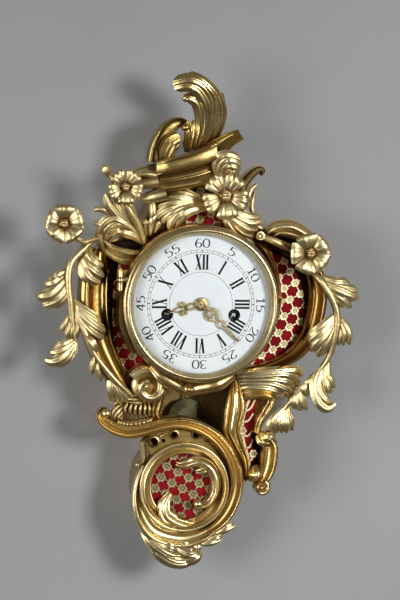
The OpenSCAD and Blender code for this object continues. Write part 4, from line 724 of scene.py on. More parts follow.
casting("roundel_leaf", bright_gold, [rim]
    + frond("foot", [
        [(-56, 64, -253, 3.5), (-49, 69, -266, 6), (-38, 73, -277, 6.5), (-24, 75, -285, 6.5),
         (-9, 72, -286, 4.5)],
        [(-42, 66, -267, 3.5), (-34, 71, -273, 6), (-24, 74, -277, 6), (-12, 71, -282, 4.5)],
        [(-49, 66, -268, 3.5), (-38, 72, -282, 6.5), (-24, 75, -291, 6.5), (-9, 75, -293, 6),
         (3, 72, -287, 5.5)],
        [(-24, 68, -274, 3.5), (-13, 73, -279, 6), (-4, 76, -283, 6.5), (4, 75, -282, 6), (6, 70, -275, 4.5)],
        [(-14, 72, -289, 3.5), (-3, 75, -290, 6), (6, 75, -285, 5.5), (7, 70, -277, 4)]])
    + frond("sprig", [
        [(-16, 66, -273, 2), (-10, 69, -273, 3.5), (-4, 69, -274, 3), (1, 67, -276, 2)],
        [(1, 66, -275, 2), (6, 69, -276, 3.5), (8, 69, -279, 3), (10, 67, -284, 2)],
        [(10, 66, -273, 2), (18, 69, -272, 3.5), (26, 69, -270, 3.5), (35, 67, -268, 2)],
        [(15, 66, -269, 2), (24, 69, -267, 3.5), (30, 69, -265, 3), (35, 67, -264, 2)],
        [(27, 66, -262, 2), (35, 69, -258, 3.5), (42, 69, -255, 3), (50, 67, -252, 2)],
        [(33, 66, -259, 2), (38, 69, -254, 3), (43, 68, -251, 2.5), (47, 67, -250, 2)]]))

# The pierced gallery between the band and the roundel is a plain casting in old gilding. A row of
# beads, a turned rim round each hole and two small leaves are soldered to it.
old_gold = metal("old_gold", (0.46, 0.345, 0.125), (0.15, 0.085, 0.025), 0.010, 0.28, 0.50, 0.5)
dress(old_gold, "gallery")
GALLERY_FACE = 62.0
bead_row = eased([(-38, -151), (-30, -147.5), (-14, -144), (-6, -144), (8, -149), (18, -156)], 4)
trim = [ball(x, GALLERY_FACE + 0.2, z, 1.4) for x, z in bead_row]
for x, z, r in ((-45, -157, 4.6), (-22, -149, 3.6), (3, -149, 3.6)):
    lip = [(r - 0.2, 0), (r - 0.2, 1.2), (r + 0.5, 2.0), (r + 1.5, 1.8), (r + 2.0, 0.8), (r + 2.0, 0)]
    trim.append(turned("rim", lip, x, z, GALLERY_FACE, steps=40))
trim += [
    fluted("gallery_leaf", [(6, 61, -150, 3), (15, 64, -152, 5), (24, 64, -157, 4)], lobes=2),
    fluted("gallery_leaf", [(16, 61, -154, 3), (26, 64, -159, 6), (34, 64, -168, 5)], lobes=2)]
seat(joined("gallery_beads", trim), burnished, "gilt_bronze")

# A gilt surround stands round the foot of the dial ring and closes the panels towards the bezel. It
# is a turned ring with a fillet at either side, held by the dial ring.
dial_surround = joined("dial_surround", [
    turned("surround", [
        (84.6, 0), (84.6, 26), (85.4, 27), (86.4, 27), (87.2, 26), (87.5, 24), (87.5, 0)], 0, 0, FRONT),
    moulding("left_fillet", [
        (-80, 36, 3, 18), (-86, 18, 4.5, 28), (-88, -2, 6, 30), (-87, -22, 6.5, 30), (-80, -41, 6, 28),
        (-71, -57, 3, 18)], REVEAL),
    moulding("right_fillet", [
        (64, 68, 3, 9), (74, 59, 9, 18), (83, 44, 10, 20), (89, 26, 9, 20), (92, 6, 8, 18),
        (91, -14, 6, 16), (87, -31, 3, 12)], OGEE)])
seat(dial_surround, burnished, "gilt_bronze")

# The crest: a slanting cornice cast in steps, an arched leaf at its left and a tall curling plume.
# These are the topmost castings, screwed to the upper edge of the case.
CORNICE = [(.5, 0), (.5, .90), (.485, .97), (.455, 1), (.43, .99), (.42, .95), (.40, .94),
           (.16, .94), (.14, .96), (.115, 1), (.09, .99), (.075, .93), (.06, .78), (.03, .66), (-.03, .57),
           (-.10, .53), (-.14, .53), (-.155, .58), (-.17, .61), (-.19, .61), (-.20, .58), (-.215, .55),
           (-.40, .54), (-.42, .58), (-.45, .60), (-.48, .58), (-.5, .52), (-.5, 0)]
RETURN = [(.5, 0), (.5, .90), (.48, .97), (.44, .98), (.36, .93), (.24, .84), (.10, .74),
          (-.10, .66), (-.26, .63), (-.34, .66), (-.38, .74), (-.46, .76), (-.5, .70), (-.5, 0)]
fascia = eased([
    (14, 155.8, 45.5, 32), (0, 150, 42.5, 35), (-16, 145.3, 39.3, 35), (-39, 140.2, 36.6, 33),
    (-52, 137.5, 34.5, 26)], 8)
fascia_rows = [[(x, FRONT + t * height, z + s * width) for s, t in CORNICE]
               for x, z, width, height in fascia]
casting("cornice", old_gold, [
    skin("fascia", fascia_rows, closed=True),
    moulding("right_return", [
        (10, 167, 20, 30), (19, 173, 19, 30), (30, 181, 15, 29), (42, 187, 12, 28)], RETURN)])
casting("plume", burnished, frond("flute", [
        [(-10, 66, 169, 4.5), (-2, 72, 189, 6.5), (-2, 77, 206, 8), (-8, 82, 221, 7.5),
         (-19, 84, 225, 5.5), (-24, 82, 221, 4.5)],
        [(-5, 66, 171, 4.5), (4, 73, 189, 7.5), (5, 78, 207, 8.5), (1, 83, 222, 8), (-10, 88, 235, 7.5),
         (-23, 89, 238, 6.5), (-35, 86, 235, 6)],
        [(1, 66, 172, 4.5), (8, 73, 189, 7.5), (11, 78, 208, 8.5), (8, 83, 226, 8), (-3, 88, 239, 7.5),
         (-19, 90, 245, 7.5), (-37, 86, 240, 7)],
        [(7, 65, 174, 4.5), (14, 72, 189, 7.5), (18, 77, 208, 8.5), (14, 82, 224, 7.5), (5, 87, 236, 6.5),
         (-8, 89, 246, 5.5), (-22, 88, 250, 6)],
        [(8, 64, 175, 3.5), (16, 70, 191, 5.5), (18, 74, 209, 5.5), (19, 77, 222, 5), (17, 79, 232, 4)]],
        short=0.08, cup=0.40, thick=2.6))
TROUGH = [(-.5, 0), (-.5, .84), (-.47, .94), (-.41, 1), (-.34, .97), (-.29, .86), (-.27, .76),
          (-.22, .68), (-.10, .62), (.08, .60), (.26, .62), (.40, .66), (.47, .68), (.5, .62), (.5, 0)]
casting("arch_leaf", old_gold, [
    moulding("arch", [
        (-46, 154, 28, 15), (-45, 166, 27, 17), (-43, 177, 24, 18), (-39, 187, 20, 18), (-34, 194, 16, 18),
        (-27, 198, 13, 16), (-20, 198, 9, 13), (-16, 194, 5, 10)], TROUGH),
    ball(-19, 72, 193, 5)]
    + frond("inner_lobe", [
        [(-42, 66, 156, 5), (-40, 69, 168, 7.5), (-34, 71, 178, 7.5), (-24, 70, 183, 5)],
        [(-36, 66, 159, 3), (-33, 69, 169, 4.5), (-26, 69, 176, 3.5)]], cup=-0.2, curl=0.15)
    + frond("limb", [
        [(-15, 66, 166, 3), (-16, 72, 178, 5), (-15, 75, 189, 5), (-17, 75, 201, 3.5)],
        [(-10, 66, 168, 3), (-11, 72, 180, 5), (-9, 75, 192, 5), (-10, 74, 202, 3.5)]], cup=-0.2))

# Flower sprays on both sides of the crest, a scroll at the upper left and a broad leaf over the bezel.
# Petals, buttons and leaves were cast apart, chased with flutes, gilt matt and brazed on their stems.
PETALS, PETAL_SUNK, PETAL_OVERLAP = 5, 2, 1.1
PETAL_SPINE = ((0.20, -6.5, 0.13), (0.32, -2.2, 0.22), (0.56, 0.6, 0.37), (0.82, 1.8, 0.48),
               (1.03, 0.4, 0.43))


def flower(x, depth, z, radius, turn, lean=0.0, ragged=False):
    """Broad petals round a knotted button in a deep throat. Ragged ones are notched and fluted. A lean tips
    the rim forward on the right."""
    made = []
    form = dict(lobes=1, notch=0, ridge=0.05, rib=0.03, short=(0.08, 0.08))
    broad = 1.1
    if ragged:
        form = dict(lobes=3, notch=0.07, ridge=0.07, rib=0.012, short=(0.12, 0.12))
        broad = 1.0
    for k in range(PETALS):
        a = math.radians(turn + 360 / PETALS * k)
        ca, sa = math.cos(a), math.sin(a)
        spine = []
        for r, up, w in PETAL_SPINE:
            px, pz = radius * r * ca, radius * r * sa
            out = depth - PETAL_SUNK + up + (k % 2) * PETAL_OVERLAP + lean * px
            spine.append((x + px, out, z + pz, radius * w * broad))
        made.append(fluted("petal", spine, cup=0.10, curl=0.16, thick=1.6, **form))
    for k in range(4):
        a = math.radians(45 + 90 * k)
        px, pz = radius * 0.09 * math.cos(a), radius * 0.09 * math.sin(a)
        made.append(ball(x + px, depth - 1.4, z + pz, radius * 0.10))
    for part, sides, sizes in (("cup", 20, ((17, 0.10), (12, 0.24), (8.4, 0.30), (7.2, 0.27))),
                               ("pin", 16, ((9, 0.10), (5, 0.11), (2, 0.15), (1, 0.13)))):
        made.append(stem(part, [(x, depth - sunk, z, radius * share) for sunk, share in sizes], sides=sides))
    return made


casting("left_top_spray", matt_gold, flower(-86, 91, 127, 19.5, 200, ragged=True) + [
    moulding("left_return", [(-76, 139, 8, 12), (-65, 142, 15, 18), (-50, 142, 20, 24)], OGEE),
    moulding("middle_return", [(-76, 127, 6, 12), (-64, 130, 11, 17), (-48, 133, 13, 19)], LINED),
    moulding("lower_return", [(-66, 113, 8, 20), (-55, 116, 12, 28), (-41, 120, 13, 31)], LINED),
    stem("strap", [(-54, 62, 116, 4.5), (-52, 64, 102, 5), (-51, 62, 87, 4)]),
    stem("strap", [(-68, 61, 146, 3.5), (-63, 64, 138, 5), (-60, 62, 131, 4)]),
    stem("stalk", [
        (-60, 64, 66, 4), (-70, 70, 86, 4.5), (-78, 76, 98, 3.5), (-85, 78, 112, 3), (-86, 80, 126, 3)]),
    stem("stalk", [(-79, 80, 106, 2), (-94, 84, 124, 2), (-107, 88, 142, 2.5)]),
    stem("bud", [
        (-104, 87, 139, 2.5), (-107, 89, 143, 5), (-110, 90, 148, 4), (-112, 90, 151, 1)],
        sides=15, ridges=0.12)]
    + frond("calyx", [
        [(-62, 65, 66, 2.5), (-77, 72, 83, 4.5), (-94, 79, 97, 5), (-104, 83, 109, 4.5),
         (-107, 84, 120, 3.5)],
        [(-63, 66, 69, 2.5), (-79, 73, 85, 4.5), (-90, 79, 100, 5.5), (-98, 82, 113, 4)],
        [(-65, 66, 72, 2.5), (-77, 72, 88, 4.5), (-86, 78, 104, 5.5), (-91, 81, 117, 5)],
        [(-68, 67, 80, 2.5), (-75, 73, 94, 5), (-80, 79, 107, 5.5), (-78, 82, 118, 5)],
        [(-54, 64, 73, 2), (-53, 68, 84, 3.5), (-52, 70, 92, 3.5), (-47, 69, 97, 2)],
        [(-58, 64, 72, 2), (-61, 68, 82, 3.5), (-60, 70, 88, 3.5), (-63, 69, 91, 2)],
        [(-50, 63, 76, 2), (-46, 67, 84, 3.5), (-44, 68, 90, 3)]], cup=0.5))
casting("left_top_scroll", matt_gold, [
    moulding("arch_band", [
        (-109, 66, 9, 14), (-100, 57, 14, 18), (-87, 51, 18, 20), (-75, 49, 18, 20), (-62, 50, 14, 16)],
        HOLLOW_MIRRORED),
    stem("tendril", [
        (-97, 70, 89, 3.5), (-102, 72, 97, 4), (-110, 73, 102, 4), (-118, 72, 101, 3)], ridges=0.05),
    stem("tendril", [(-108, 68, 80, 2.5), (-113, 70, 85, 3), (-118, 70, 87, 2)]),
    stem("post", [(-106, 62, 56, 3.5), (-110, 68, 66, 4), (-112, 71, 75, 3.5)])]
    + frond("curl", [
        [(-108, 63, 59, 3.5), (-110, 70, 74, 6), (-107, 75, 86, 6.5), (-97, 78, 92, 6.5),
         (-86, 78, 88, 5.5), (-76, 75, 81, 4)],
        [(-105, 63, 61, 3.5), (-106, 70, 74, 6), (-100, 75, 83, 6.5), (-91, 77, 87, 6), (-81, 75, 83, 5)],
        [(-104, 63, 64, 3.5), (-102, 69, 72, 5), (-97, 73, 79, 5.5), (-90, 74, 81, 4)]], cup=0.5)
    + frond("curl_tip", [
        [(-60, 64, 64, 3), (-72, 70, 73, 5.5), (-84, 74, 77, 5.5), (-93, 73, 78, 4)]], cup=0.5))
casting("centre_leaf", matt_gold, frond("lobe", [
        [(21, 68, 106, 2.5), (1, 74, 105, 4.5), (-15, 78, 101, 6.5), (-22, 78, 94, 6.5), (-27, 74, 80, 4.5)],
        [(17, 68, 106, 2.5), (-5, 74, 105, 5.5), (-22, 78, 99, 7), (-30, 77, 91, 6.5), (-34, 73, 78, 4.5)],
        [(11, 68, 106, 2.5), (-10, 74, 106, 6), (-28, 77, 100, 7.5), (-37, 75, 94, 6.5), (-43, 71, 87, 4.5)],
        [(8, 68, 107, 2.5), (-13, 73, 108, 6), (-31, 76, 104, 7), (-42, 74, 99, 6), (-49, 70, 92, 4.5)],
        [(8, 68, 108, 2.5), (-12, 73, 110, 6), (-28, 75, 110, 7), (-39, 73, 108, 6.5), (-48, 69, 104, 5.5)],
        [(7, 67, 109, 2.5), (-9, 72, 114, 6), (-23, 74, 116, 7), (-34, 72, 115, 6.5), (-44, 68, 113, 5.5)],
        [(7, 67, 110, 2.5), (-7, 71, 116, 5.5), (-18, 73, 120, 6.5), (-27, 71, 121, 6),
         (-34, 67, 120, 4.5)]]))
casting("right_top_spray", matt_gold, flower(25, 91, 119, 26, 60, ragged=True) + [
    stem("stalk", [(58, 64, 84, 4.5), (46, 70, 94, 6), (34, 74, 106, 5), (26, 78, 118, 4)]),
    moulding("c_scroll", [
        (69, 142, 4, 9), (71, 147, 6, 12), (66, 149, 9, 15), (58, 144, 12, 17), (50, 134, 13, 17),
        (46, 121, 12, 17), (48, 108, 9, 14)], REEDED),
    stem("strand", [(64, 66, 132, 2), (57, 68, 126, 3), (54, 68, 117, 3.5), (54, 66, 107, 3)]),
    stem("strand", [(62, 64, 123, 2), (59, 66, 114, 3), (59, 66, 104, 3), (63, 65, 95, 2.5)]),
    stem("bridge", [(38, 74, 114, 5), (47, 70, 115, 6), (57, 66, 117, 4)]),
    stem("link", [(71, 66, 74, 3), (80, 68, 71, 4), (92, 68, 66, 4.5), (104, 64, 59, 3.5)]),
    turned("rosette", [
        (0.4, 0), (0.4, 4.4), (1.6, 4.6), (2.0, 3.4), (2.6, 3.2), (3.2, 4.4), (4.6, 4.2), (5.4, 2.8),
        (5.4, 0)], 69, 75, 66.0, steps=32)]
    + frond("crest", [
        [(18, 78, 139, 3), (15, 84, 152, 5.5), (18, 89, 162, 6), (28, 91, 164, 5.5), (40, 89, 160, 4.5)],
        [(20, 79, 139, 3), (19, 85, 151, 5.5), (24, 90, 158, 6), (32, 91, 158, 5.5), (42, 88, 153, 4.5)],
        [(22, 79, 139, 3), (23, 85, 149, 5.5), (28, 89, 153, 5.5), (35, 89, 151, 5), (42, 86, 147, 4)],
        [(24, 79, 139, 3), (28, 84, 146, 5), (33, 87, 147, 5), (40, 84, 141, 4)]])
    + frond("apron", [
        [(30, 76, 103, 3.5), (42, 78, 100, 5.5), (55, 77, 96, 5.5), (69, 72, 96, 4.5)],
        [(30, 76, 101, 3.5), (42, 78, 96, 5.5), (57, 76, 90, 6), (72, 71, 92, 4.5)],
        [(30, 76, 98, 3.5), (41, 77, 91, 6), (55, 74, 83, 6), (67, 69, 82, 4.5)],
        [(30, 75, 97, 3.5), (39, 75, 87, 6), (50, 72, 78, 6), (64, 67, 74, 5)],
        [(29, 74, 95, 3.5), (36, 74, 84, 6), (48, 70, 74, 6), (64, 65, 64, 4.5)],
        [(28, 73, 94, 3.5), (33, 72, 84, 4.5), (42, 69, 76, 5.5), (54, 65, 69, 4)]]))

# Flowering branches lie along both sides of the case: stems with broad fluted leaves whose tips
# stand clear of the frame, pinned through the frame castings.
casting("left_branch", matt_gold, flower(-152.5, 93, 86, 21, 18, lean=0.12) + [
    stem("stalk", [
        (-112, 66, 69, 3.5), (-121, 74, 68, 3.5), (-131, 80, 66, 3), (-140, 84, 72, 3), (-150, 80, 83, 3)]),
    stem("branch", [
        (-119, 72, 68, 3), (-130, 77, 58, 4), (-142, 80, 46, 4.5), (-146, 81, 34, 4.5), (-146, 81, 17, 4),
        (-144, 80, 2, 4), (-142, 79, -14, 3.5), (-140, 78, -29, 3), (-137, 77, -42, 2)], ridges=0.05),
    stem("tail", [
        (-137, 79, -4, 2.5), (-132, 79, -21, 3.5), (-126, 79, -35, 4), (-120, 78, -49, 3.5),
        (-112, 77, -62, 3), (-99, 75, -78, 3.5), (-86, 72, -92, 4), (-71, 66, -106, 3.5)], ridges=0.05),
    stem("bud", [
        (-124, 80, -37, 2.5), (-120, 82, -43, 5), (-116, 81, -49, 4), (-113, 79, -54, 1.5)],
        sides=15, ridges=0.1)]
    + frond("fan", [
        [(-147, 80, 35, 2.5), (-154, 84, 32, 4), (-160, 85, 28, 4), (-166, 82, 26, 3.5)],
        [(-148, 80, 33, 2.5), (-156, 84, 27, 5.5), (-165, 86, 21, 6), (-173, 83, 20, 5)],
        [(-148, 80, 28, 3), (-156, 85, 18, 6.5), (-166, 87, 9, 7), (-176, 86, 7, 6), (-182, 82, 10, 4.5)],
        [(-147, 80, 23, 3), (-152, 84, 11, 6.5), (-161, 85, 2, 7.5), (-174, 82, -4, 6)],
        [(-147, 80, 17, 3), (-149, 83, 8, 5.5), (-156, 83, 0, 5.5), (-164, 81, -5, 4)]])
    + frond("sheath", [
        [(-125, 74, 64, 2.5), (-124, 80, 53, 5.5), (-117, 83, 44, 5.5), (-107, 80, 39, 4.5)],
        [(-126, 74, 61, 2.5), (-127, 81, 46, 6), (-118, 84, 35, 6.5), (-106, 80, 28, 5)],
        [(-127, 74, 60, 2.5), (-130, 80, 42, 6), (-123, 83, 28, 6.5), (-110, 79, 21, 5)],
        [(-128, 73, 58, 2.5), (-131, 77, 40, 5.5), (-127, 80, 28, 5.5), (-117, 77, 17, 4)]])
    + frond("blade", [
        [(-141, 79, 3, 2.5), (-131, 82, -8, 6), (-119, 83, -16, 6), (-109, 80, -23, 4.5)],
        [(-140, 79, 0, 2.5), (-131, 83, -13, 6.5), (-117, 84, -25, 7), (-103, 79, -33, 5.5)],
        [(-139, 79, -3, 2.5), (-132, 82, -18, 6.5), (-120, 83, -31, 7), (-105, 78, -41, 5.5)],
        [(-139, 78, -6, 2.5), (-132, 80, -21, 5.5), (-124, 81, -32, 6), (-114, 77, -41, 4.5)]])
    + frond("pods", [
        [(-144, 78, -12, 1.5), (-148, 81, -21, 3), (-152, 81, -29, 3.5), (-154, 79, -33, 2.5)],
        [(-143, 78, -14, 1.5), (-144, 81, -26, 3), (-146, 81, -35, 3.5), (-146, 79, -41, 2.5)],
        [(-142, 78, -14, 1.5), (-140, 81, -26, 3), (-141, 81, -35, 3.5), (-140, 79, -41, 2.5)],
        [(-141, 78, -14, 1.5), (-135, 80, -26, 3), (-136, 80, -35, 3.5), (-135, 78, -41, 2.5)],
        [(-115, 77, -57, 1.5), (-117, 80, -66, 3), (-118, 79, -75, 3), (-117, 77, -81, 2)],
        [(-111, 76, -63, 1.5), (-112, 79, -72, 3), (-109, 78, -82, 3), (-108, 76, -88, 2)]], cup=0.7)
    + frond("wing", [
        [(-138, 77, -40, 2.5), (-146, 81, -44, 4), (-153, 82, -47, 4), (-160, 80, -50, 3.5)],
        [(-137, 77, -42, 2.5), (-146, 82, -49, 5.5), (-156, 83, -54, 5.5), (-165, 81, -56, 4.5)],
        [(-137, 77, -43, 3), (-145, 82, -54, 6), (-154, 84, -62, 6.5), (-163, 83, -65, 5.5),
         (-171, 80, -63, 4.5)],
        [(-136, 77, -45, 3), (-142, 81, -55, 6), (-148, 82, -63, 6), (-160, 79, -70, 5.5)],
        [(-136, 77, -45, 2.5), (-138, 79, -52, 4), (-140, 79, -58, 4), (-144, 77, -64, 3.5)]])
    + frond("end", [
        [(-97, 72, -82, 2.5), (-96, 74, -92, 4.5), (-95, 73, -101, 4.5), (-92, 70, -112, 4)],
        [(-95, 72, -84, 2.5), (-90, 74, -93, 5), (-86, 73, -104, 5), (-84, 70, -114, 4)],
        [(-92, 72, -86, 2.5), (-85, 73, -96, 4.5), (-78, 71, -106, 4.5), (-73, 68, -113, 4)]]))
casting("right_branch", matt_gold, flower(122, 93, 57, 23, 35, lean=-0.08) + [
    stem("branch", [
        (129, 64, 37, 3.5), (134, 76, 30, 4), (143, 80, 18, 4), (152, 80, 3, 4), (157, 79, -12, 4),
        (157, 78, -28, 4), (155, 76, -42, 4), (152, 73, -57, 3.5)], ridges=0.05),
    stem("stalk", [(122, 62, 42, 3), (121, 70, 48, 3), (122, 80, 57, 3)]),
    stem("tail", [
        (152, 74, -55, 3), (147, 73, -66, 3), (140, 71, -76, 3), (130, 69, -86, 3.5), (120, 68, -97, 3),
        (113, 67, -107, 3), (106, 66, -115, 2.5), (101, 65, -123, 2)], ridges=0.05)]
    + frond("fan", [
        [(136, 77, 31, 3), (147, 82, 27, 5.5), (158, 84, 25, 6), (170, 81, 26, 5)],
        [(137, 77, 29, 3), (150, 83, 22, 6), (165, 85, 18, 6.5), (180, 82, 16, 5.5)],
        [(137, 77, 28, 3), (150, 84, 20, 6.5), (166, 86, 13, 7), (182, 82, 7, 6)],
        [(138, 77, 27, 3), (151, 82, 15, 6), (162, 84, 7, 6), (174, 80, -4, 5)],
        [(139, 77, 25, 2.5), (150, 81, 14, 5), (158, 82, 4, 5), (167, 79, -3, 4)]])
    + frond("blade_left", [
        [(155, 79, -12, 3), (144, 82, -21, 5.5), (134, 82, -30, 5.5), (125, 78, -36, 4.5)],
        [(155, 79, -14, 3), (145, 83, -26, 6.5), (134, 83, -36, 7), (125, 78, -44, 5.5)],
        [(155, 79, -16, 3), (146, 83, -31, 6.5), (136, 83, -43, 7), (127, 77, -54, 5.5)],
        [(155, 79, -20, 3), (148, 82, -35, 6.5), (142, 81, -48, 7), (137, 76, -61, 5.5)],
        [(156, 78, -23, 3), (151, 80, -37, 5.5), (148, 79, -46, 5.5), (145, 76, -56, 4.5)]])
    + frond("pods", [
        [(159, 79, -13, 2), (166, 83, -22, 4), (171, 84, -33, 4.5), (172, 81, -46, 3.5)],
        [(158, 79, -16, 2), (164, 82, -27, 3), (166, 82, -36, 3.5), (165, 79, -47, 2.5)],
        [(158, 78, -20, 2), (161, 80, -30, 3), (161, 80, -38, 3), (160, 78, -47, 2.5)]], cup=0.7)
    + frond("curl", [
        [(147, 72, -65, 2.5), (135, 76, -86, 5.5), (136, 79, -100, 6.5), (141, 81, -112, 6.5),
         (150, 82, -117, 6), (159, 80, -112, 3.5)],
        [(148, 72, -63, 2.5), (139, 77, -86, 5.5), (140, 80, -98, 6), (146, 82, -107, 5.5),
         (154, 81, -111, 4)],
        [(149, 73, -62, 2.5), (145, 77, -80, 4), (148, 79, -88, 5), (150, 79, -96, 4.5), (156, 77, -99, 3.5)],
        [(150, 73, -60, 2.5), (149, 77, -77, 4), (152, 79, -85, 4.5), (158, 77, -95, 3.5)]], cup=0.5)
    + frond("drop", [
        [(136, 70, -79, 2), (130, 73, -86, 4), (127, 74, -90, 4), (130, 72, -98, 3.5)],
        [(131, 69, -84, 2), (125, 73, -91, 4), (124, 74, -98, 4.5), (130, 71, -105, 4)],
        [(123, 68, -94, 2), (119, 72, -102, 4.5), (121, 73, -111, 5), (129, 70, -121, 4)],
        [(120, 68, -97, 2), (115, 71, -105, 4), (116, 72, -113, 4.5), (122, 69, -122, 3.5)],
        [(118, 67, -102, 2), (112, 70, -108, 4), (113, 70, -114, 4), (117, 68, -120, 3)]])
    + frond("end", [
        [(108, 65, -115, 2), (96, 69, -124, 4), (88, 71, -133, 5), (86, 70, -142, 5), (93, 67, -151, 3.5)],
        [(108, 65, -116, 2), (99, 69, -126, 4.5), (93, 71, -136, 5.5), (94, 67, -148, 4)],
        [(107, 65, -117, 2), (102, 69, -127, 5), (99, 71, -137, 6), (100, 67, -148, 4)],
        [(107, 65, -117, 2), (105, 69, -127, 5), (105, 71, -137, 6), (106, 67, -148, 4)],
        [(108, 65, -117, 2), (107, 68, -126, 4), (109, 69, -134, 5), (113, 66, -145, 4)]]))

# The dial is a copper disc under white enamel, fired smooth. Hours, minutes and the minute track
# are painted in black and fired in; the winding holes have blackened collets.
enamel, glaze, glaze_shader = blank("white_enamel", Specular_IOR_Level=0.2)
tone = spread(glaze, mottling(glaze, 45.0, 3.0), 0.3, 0.7, 0.0, 1.0)
white = blend(glaze, tone, (0.79, 0.835, 0.86, 1), (0.84, 0.885, 0.91, 1))
glaze.links.new(white, glaze_shader["Base Color"])
glaze.links.new(spread(glaze, mottling(glaze, 120.0, 3.0), 0.3, 0.7, 0.32, 0.42), glaze_shader["Roughness"])
emboss(glaze, glaze_shader, 0.08, 0.0003, mottling(glaze, 300.0, 2.0))
dress(enamel, "dial")
ink, paint, paint_shader = blank("black_enamel", Specular_IOR_Level=0.1)
thinned = spread(paint, mottling(paint, 400.0, 3.0), 0.35, 0.65, 0.0, 1.0)
black = blend(paint, thinned, (0.003, 0.003, 0.004, 1), (0.012, 0.012, 0.014, 1))
paint.links.new(black, paint_shader["Base Color"])
paint.links.new(spread(paint, mottling(paint, 200.0, 2.0), 0.3, 0.7, 0.5, 0.65), paint_shader["Roughness"])
DIAL_FACE = 88.0
PAINT_UNDER, PAINT_OVER = -0.02, 0.05
HOUR_RING, MINUTE_RING, TRACK_RING, TRACK_HALF, INNER_LINE = 46.25, 67.0, 58.3, 1.4, 35.2
SERIF_WIDTH, LINE_HALF, FIVE_MARK, MINUTE_MARK = 0.55, 0.18, 1.0, 0.45
FIGURE_WIDTH, FIGURE_HEIGHT, FIGURE_STEP, FIGURE_GAP = 12.8, 9.4, 8.7, 1.0
PEN_THICK, PEN_THIN = 1.6, 0.5
WINDING_HOLES_X, WINDING_HOLE_Z = (-37.5, 37.5), -12


def pen(points, thick, thin):
    """Widths of a stroke drawn with a broad pen: full on upright runs, thin on level ones."""
    widths = []
    for i in range(len(points)):
        before, after = points[max(i - 1, 0)], points[min(i + 1, len(points) - 1)]
        run = Vector((after[0] - before[0], after[1] - before[1])).normalized()
        widths.append(thin + (thick - thin) * abs(run.y) ** 1.3)
    return widths


# Each letter: its room, its limbs of (end, other end, width) and its serifs of (from, to, height).
ROMAN = {
    "I": (3.9, [((1.95, -8.0), (1.95, 8.0), 2.3)], [(0.1, 3.8, 8.1), (0.1, 3.8, -8.1)]),
    "V": (7.6, [((1.7, 8.0), (3.9, -8.0), 2.4), ((6.2, 8.0), (3.9, -8.0), 0.8)],
          [(0.0, 3.4, 8.1), (4.8, 7.5, 8.1)]),
    "X": (7.8, [((1.7, 8.0), (6.1, -8.0), 2.4), ((6.1, 8.0), (1.7, -8.0), 0.8)],
          [(0.0, 3.4, 8.1), (4.8, 7.5, 8.1), (0.2, 3.2, -8.1), (4.4, 7.7, -8.1)])}
# Each figure: its strokes of the pen, in a box one high.
FIGURES = {
    "0": [[(0.30, 1.0), (0.10, 0.86), (0.02, 0.5), (0.10, 0.14), (0.30, 0.0), (0.50, 0.14), (0.58, 0.5),
           (0.50, 0.86), (0.30, 1.0)]],
    "1": [[(0.14, 0.80), (0.34, 0.98)], [(0.34, 1.0), (0.34, 0.0)], [(0.14, 0.01), (0.54, 0.01)]],
    "2": [[(0.06, 0.74), (0.13, 0.93), (0.31, 1.0), (0.50, 0.92), (0.55, 0.72), (0.42, 0.44), (0.20, 0.20),
           (0.04, 0.04)], [(0.04, 0.04), (0.58, 0.04)]],
    "3": [[(0.06, 0.86), (0.22, 1.0), (0.43, 0.96), (0.51, 0.77), (0.40, 0.58), (0.22, 0.54)],
          [(0.22, 0.54), (0.44, 0.50), (0.56, 0.28), (0.43, 0.05), (0.21, 0.0), (0.05, 0.14)]],
    "4": [[(0.44, 1.0), (0.03, 0.30)], [(0.03, 0.30), (0.60, 0.30)], [(0.44, 1.0), (0.44, 0.0)]],
    "5": [[(0.52, 0.98), (0.14, 0.98)], [(0.14, 1.0), (0.10, 0.54)],
          [(0.10, 0.54), (0.31, 0.62), (0.51, 0.50), (0.56, 0.29), (0.42, 0.06), (0.20, 0.0), (0.04, 0.12)]],
    "6": [[(0.50, 0.96), (0.30, 0.98), (0.11, 0.72), (0.05, 0.34), (0.14, 0.06), (0.30, 0.0), (0.48, 0.08),
           (0.56, 0.30), (0.46, 0.52), (0.28, 0.56), (0.10, 0.40)]]}


def on_dial(x, y, radius, turn):
    """A point of a figure on the dial: x along the ring, y outwards from a radius, turn clockwise."""
    s, c = math.sin(turn), math.cos(turn)
    return ((radius + y) * s + x * c, (radius + y) * c - x * s)


PAINT = (DIAL_FACE + PAINT_UNDER, DIAL_FACE + PAINT_OVER)
strokes = []
for hour, word in enumerate(("XII", "I", "II", "III", "IIII", "V", "VI", "VII", "VIII", "IX", "X", "XI")):
    turn = math.radians(30 * hour)
    start = -sum(ROMAN[c][0] for c in word) / 2
    for letter in word:
        room, limbs, serifs = ROMAN[letter]
        for a, b, width in limbs:
            ends = [on_dial(start + p[0], p[1], HOUR_RING, turn) for p in (a, b)]
            strokes.append(ribbon(ends, [width, width], *PAINT))
        for x0, x1, y in serifs:
            ends = [on_dial(start + x, y, HOUR_RING, turn) for x in (x0, x1)]
            strokes.append(ribbon(ends, [SERIF_WIDTH, SERIF_WIDTH], *PAINT))
        start += room
for five in range(1, 13):
    turn = math.radians(30 * five)
    word = str(5 * five)
    start = -(FIGURE_STEP * len(word) - FIGURE_GAP) / 2
    for figure in word:
        for line in FIGURES[figure]:
            path = eased(line, 5) if len(line) > 3 else line
            scaled = [(start + FIGURE_WIDTH * x, FIGURE_HEIGHT * y - FIGURE_HEIGHT / 2) for x, y in path]
            laid = [on_dial(x, y, MINUTE_RING, turn) for x, y in scaled]
            strokes.append(ribbon(laid, pen(scaled, PEN_THICK, PEN_THIN), *PAINT))
        start += FIGURE_STEP
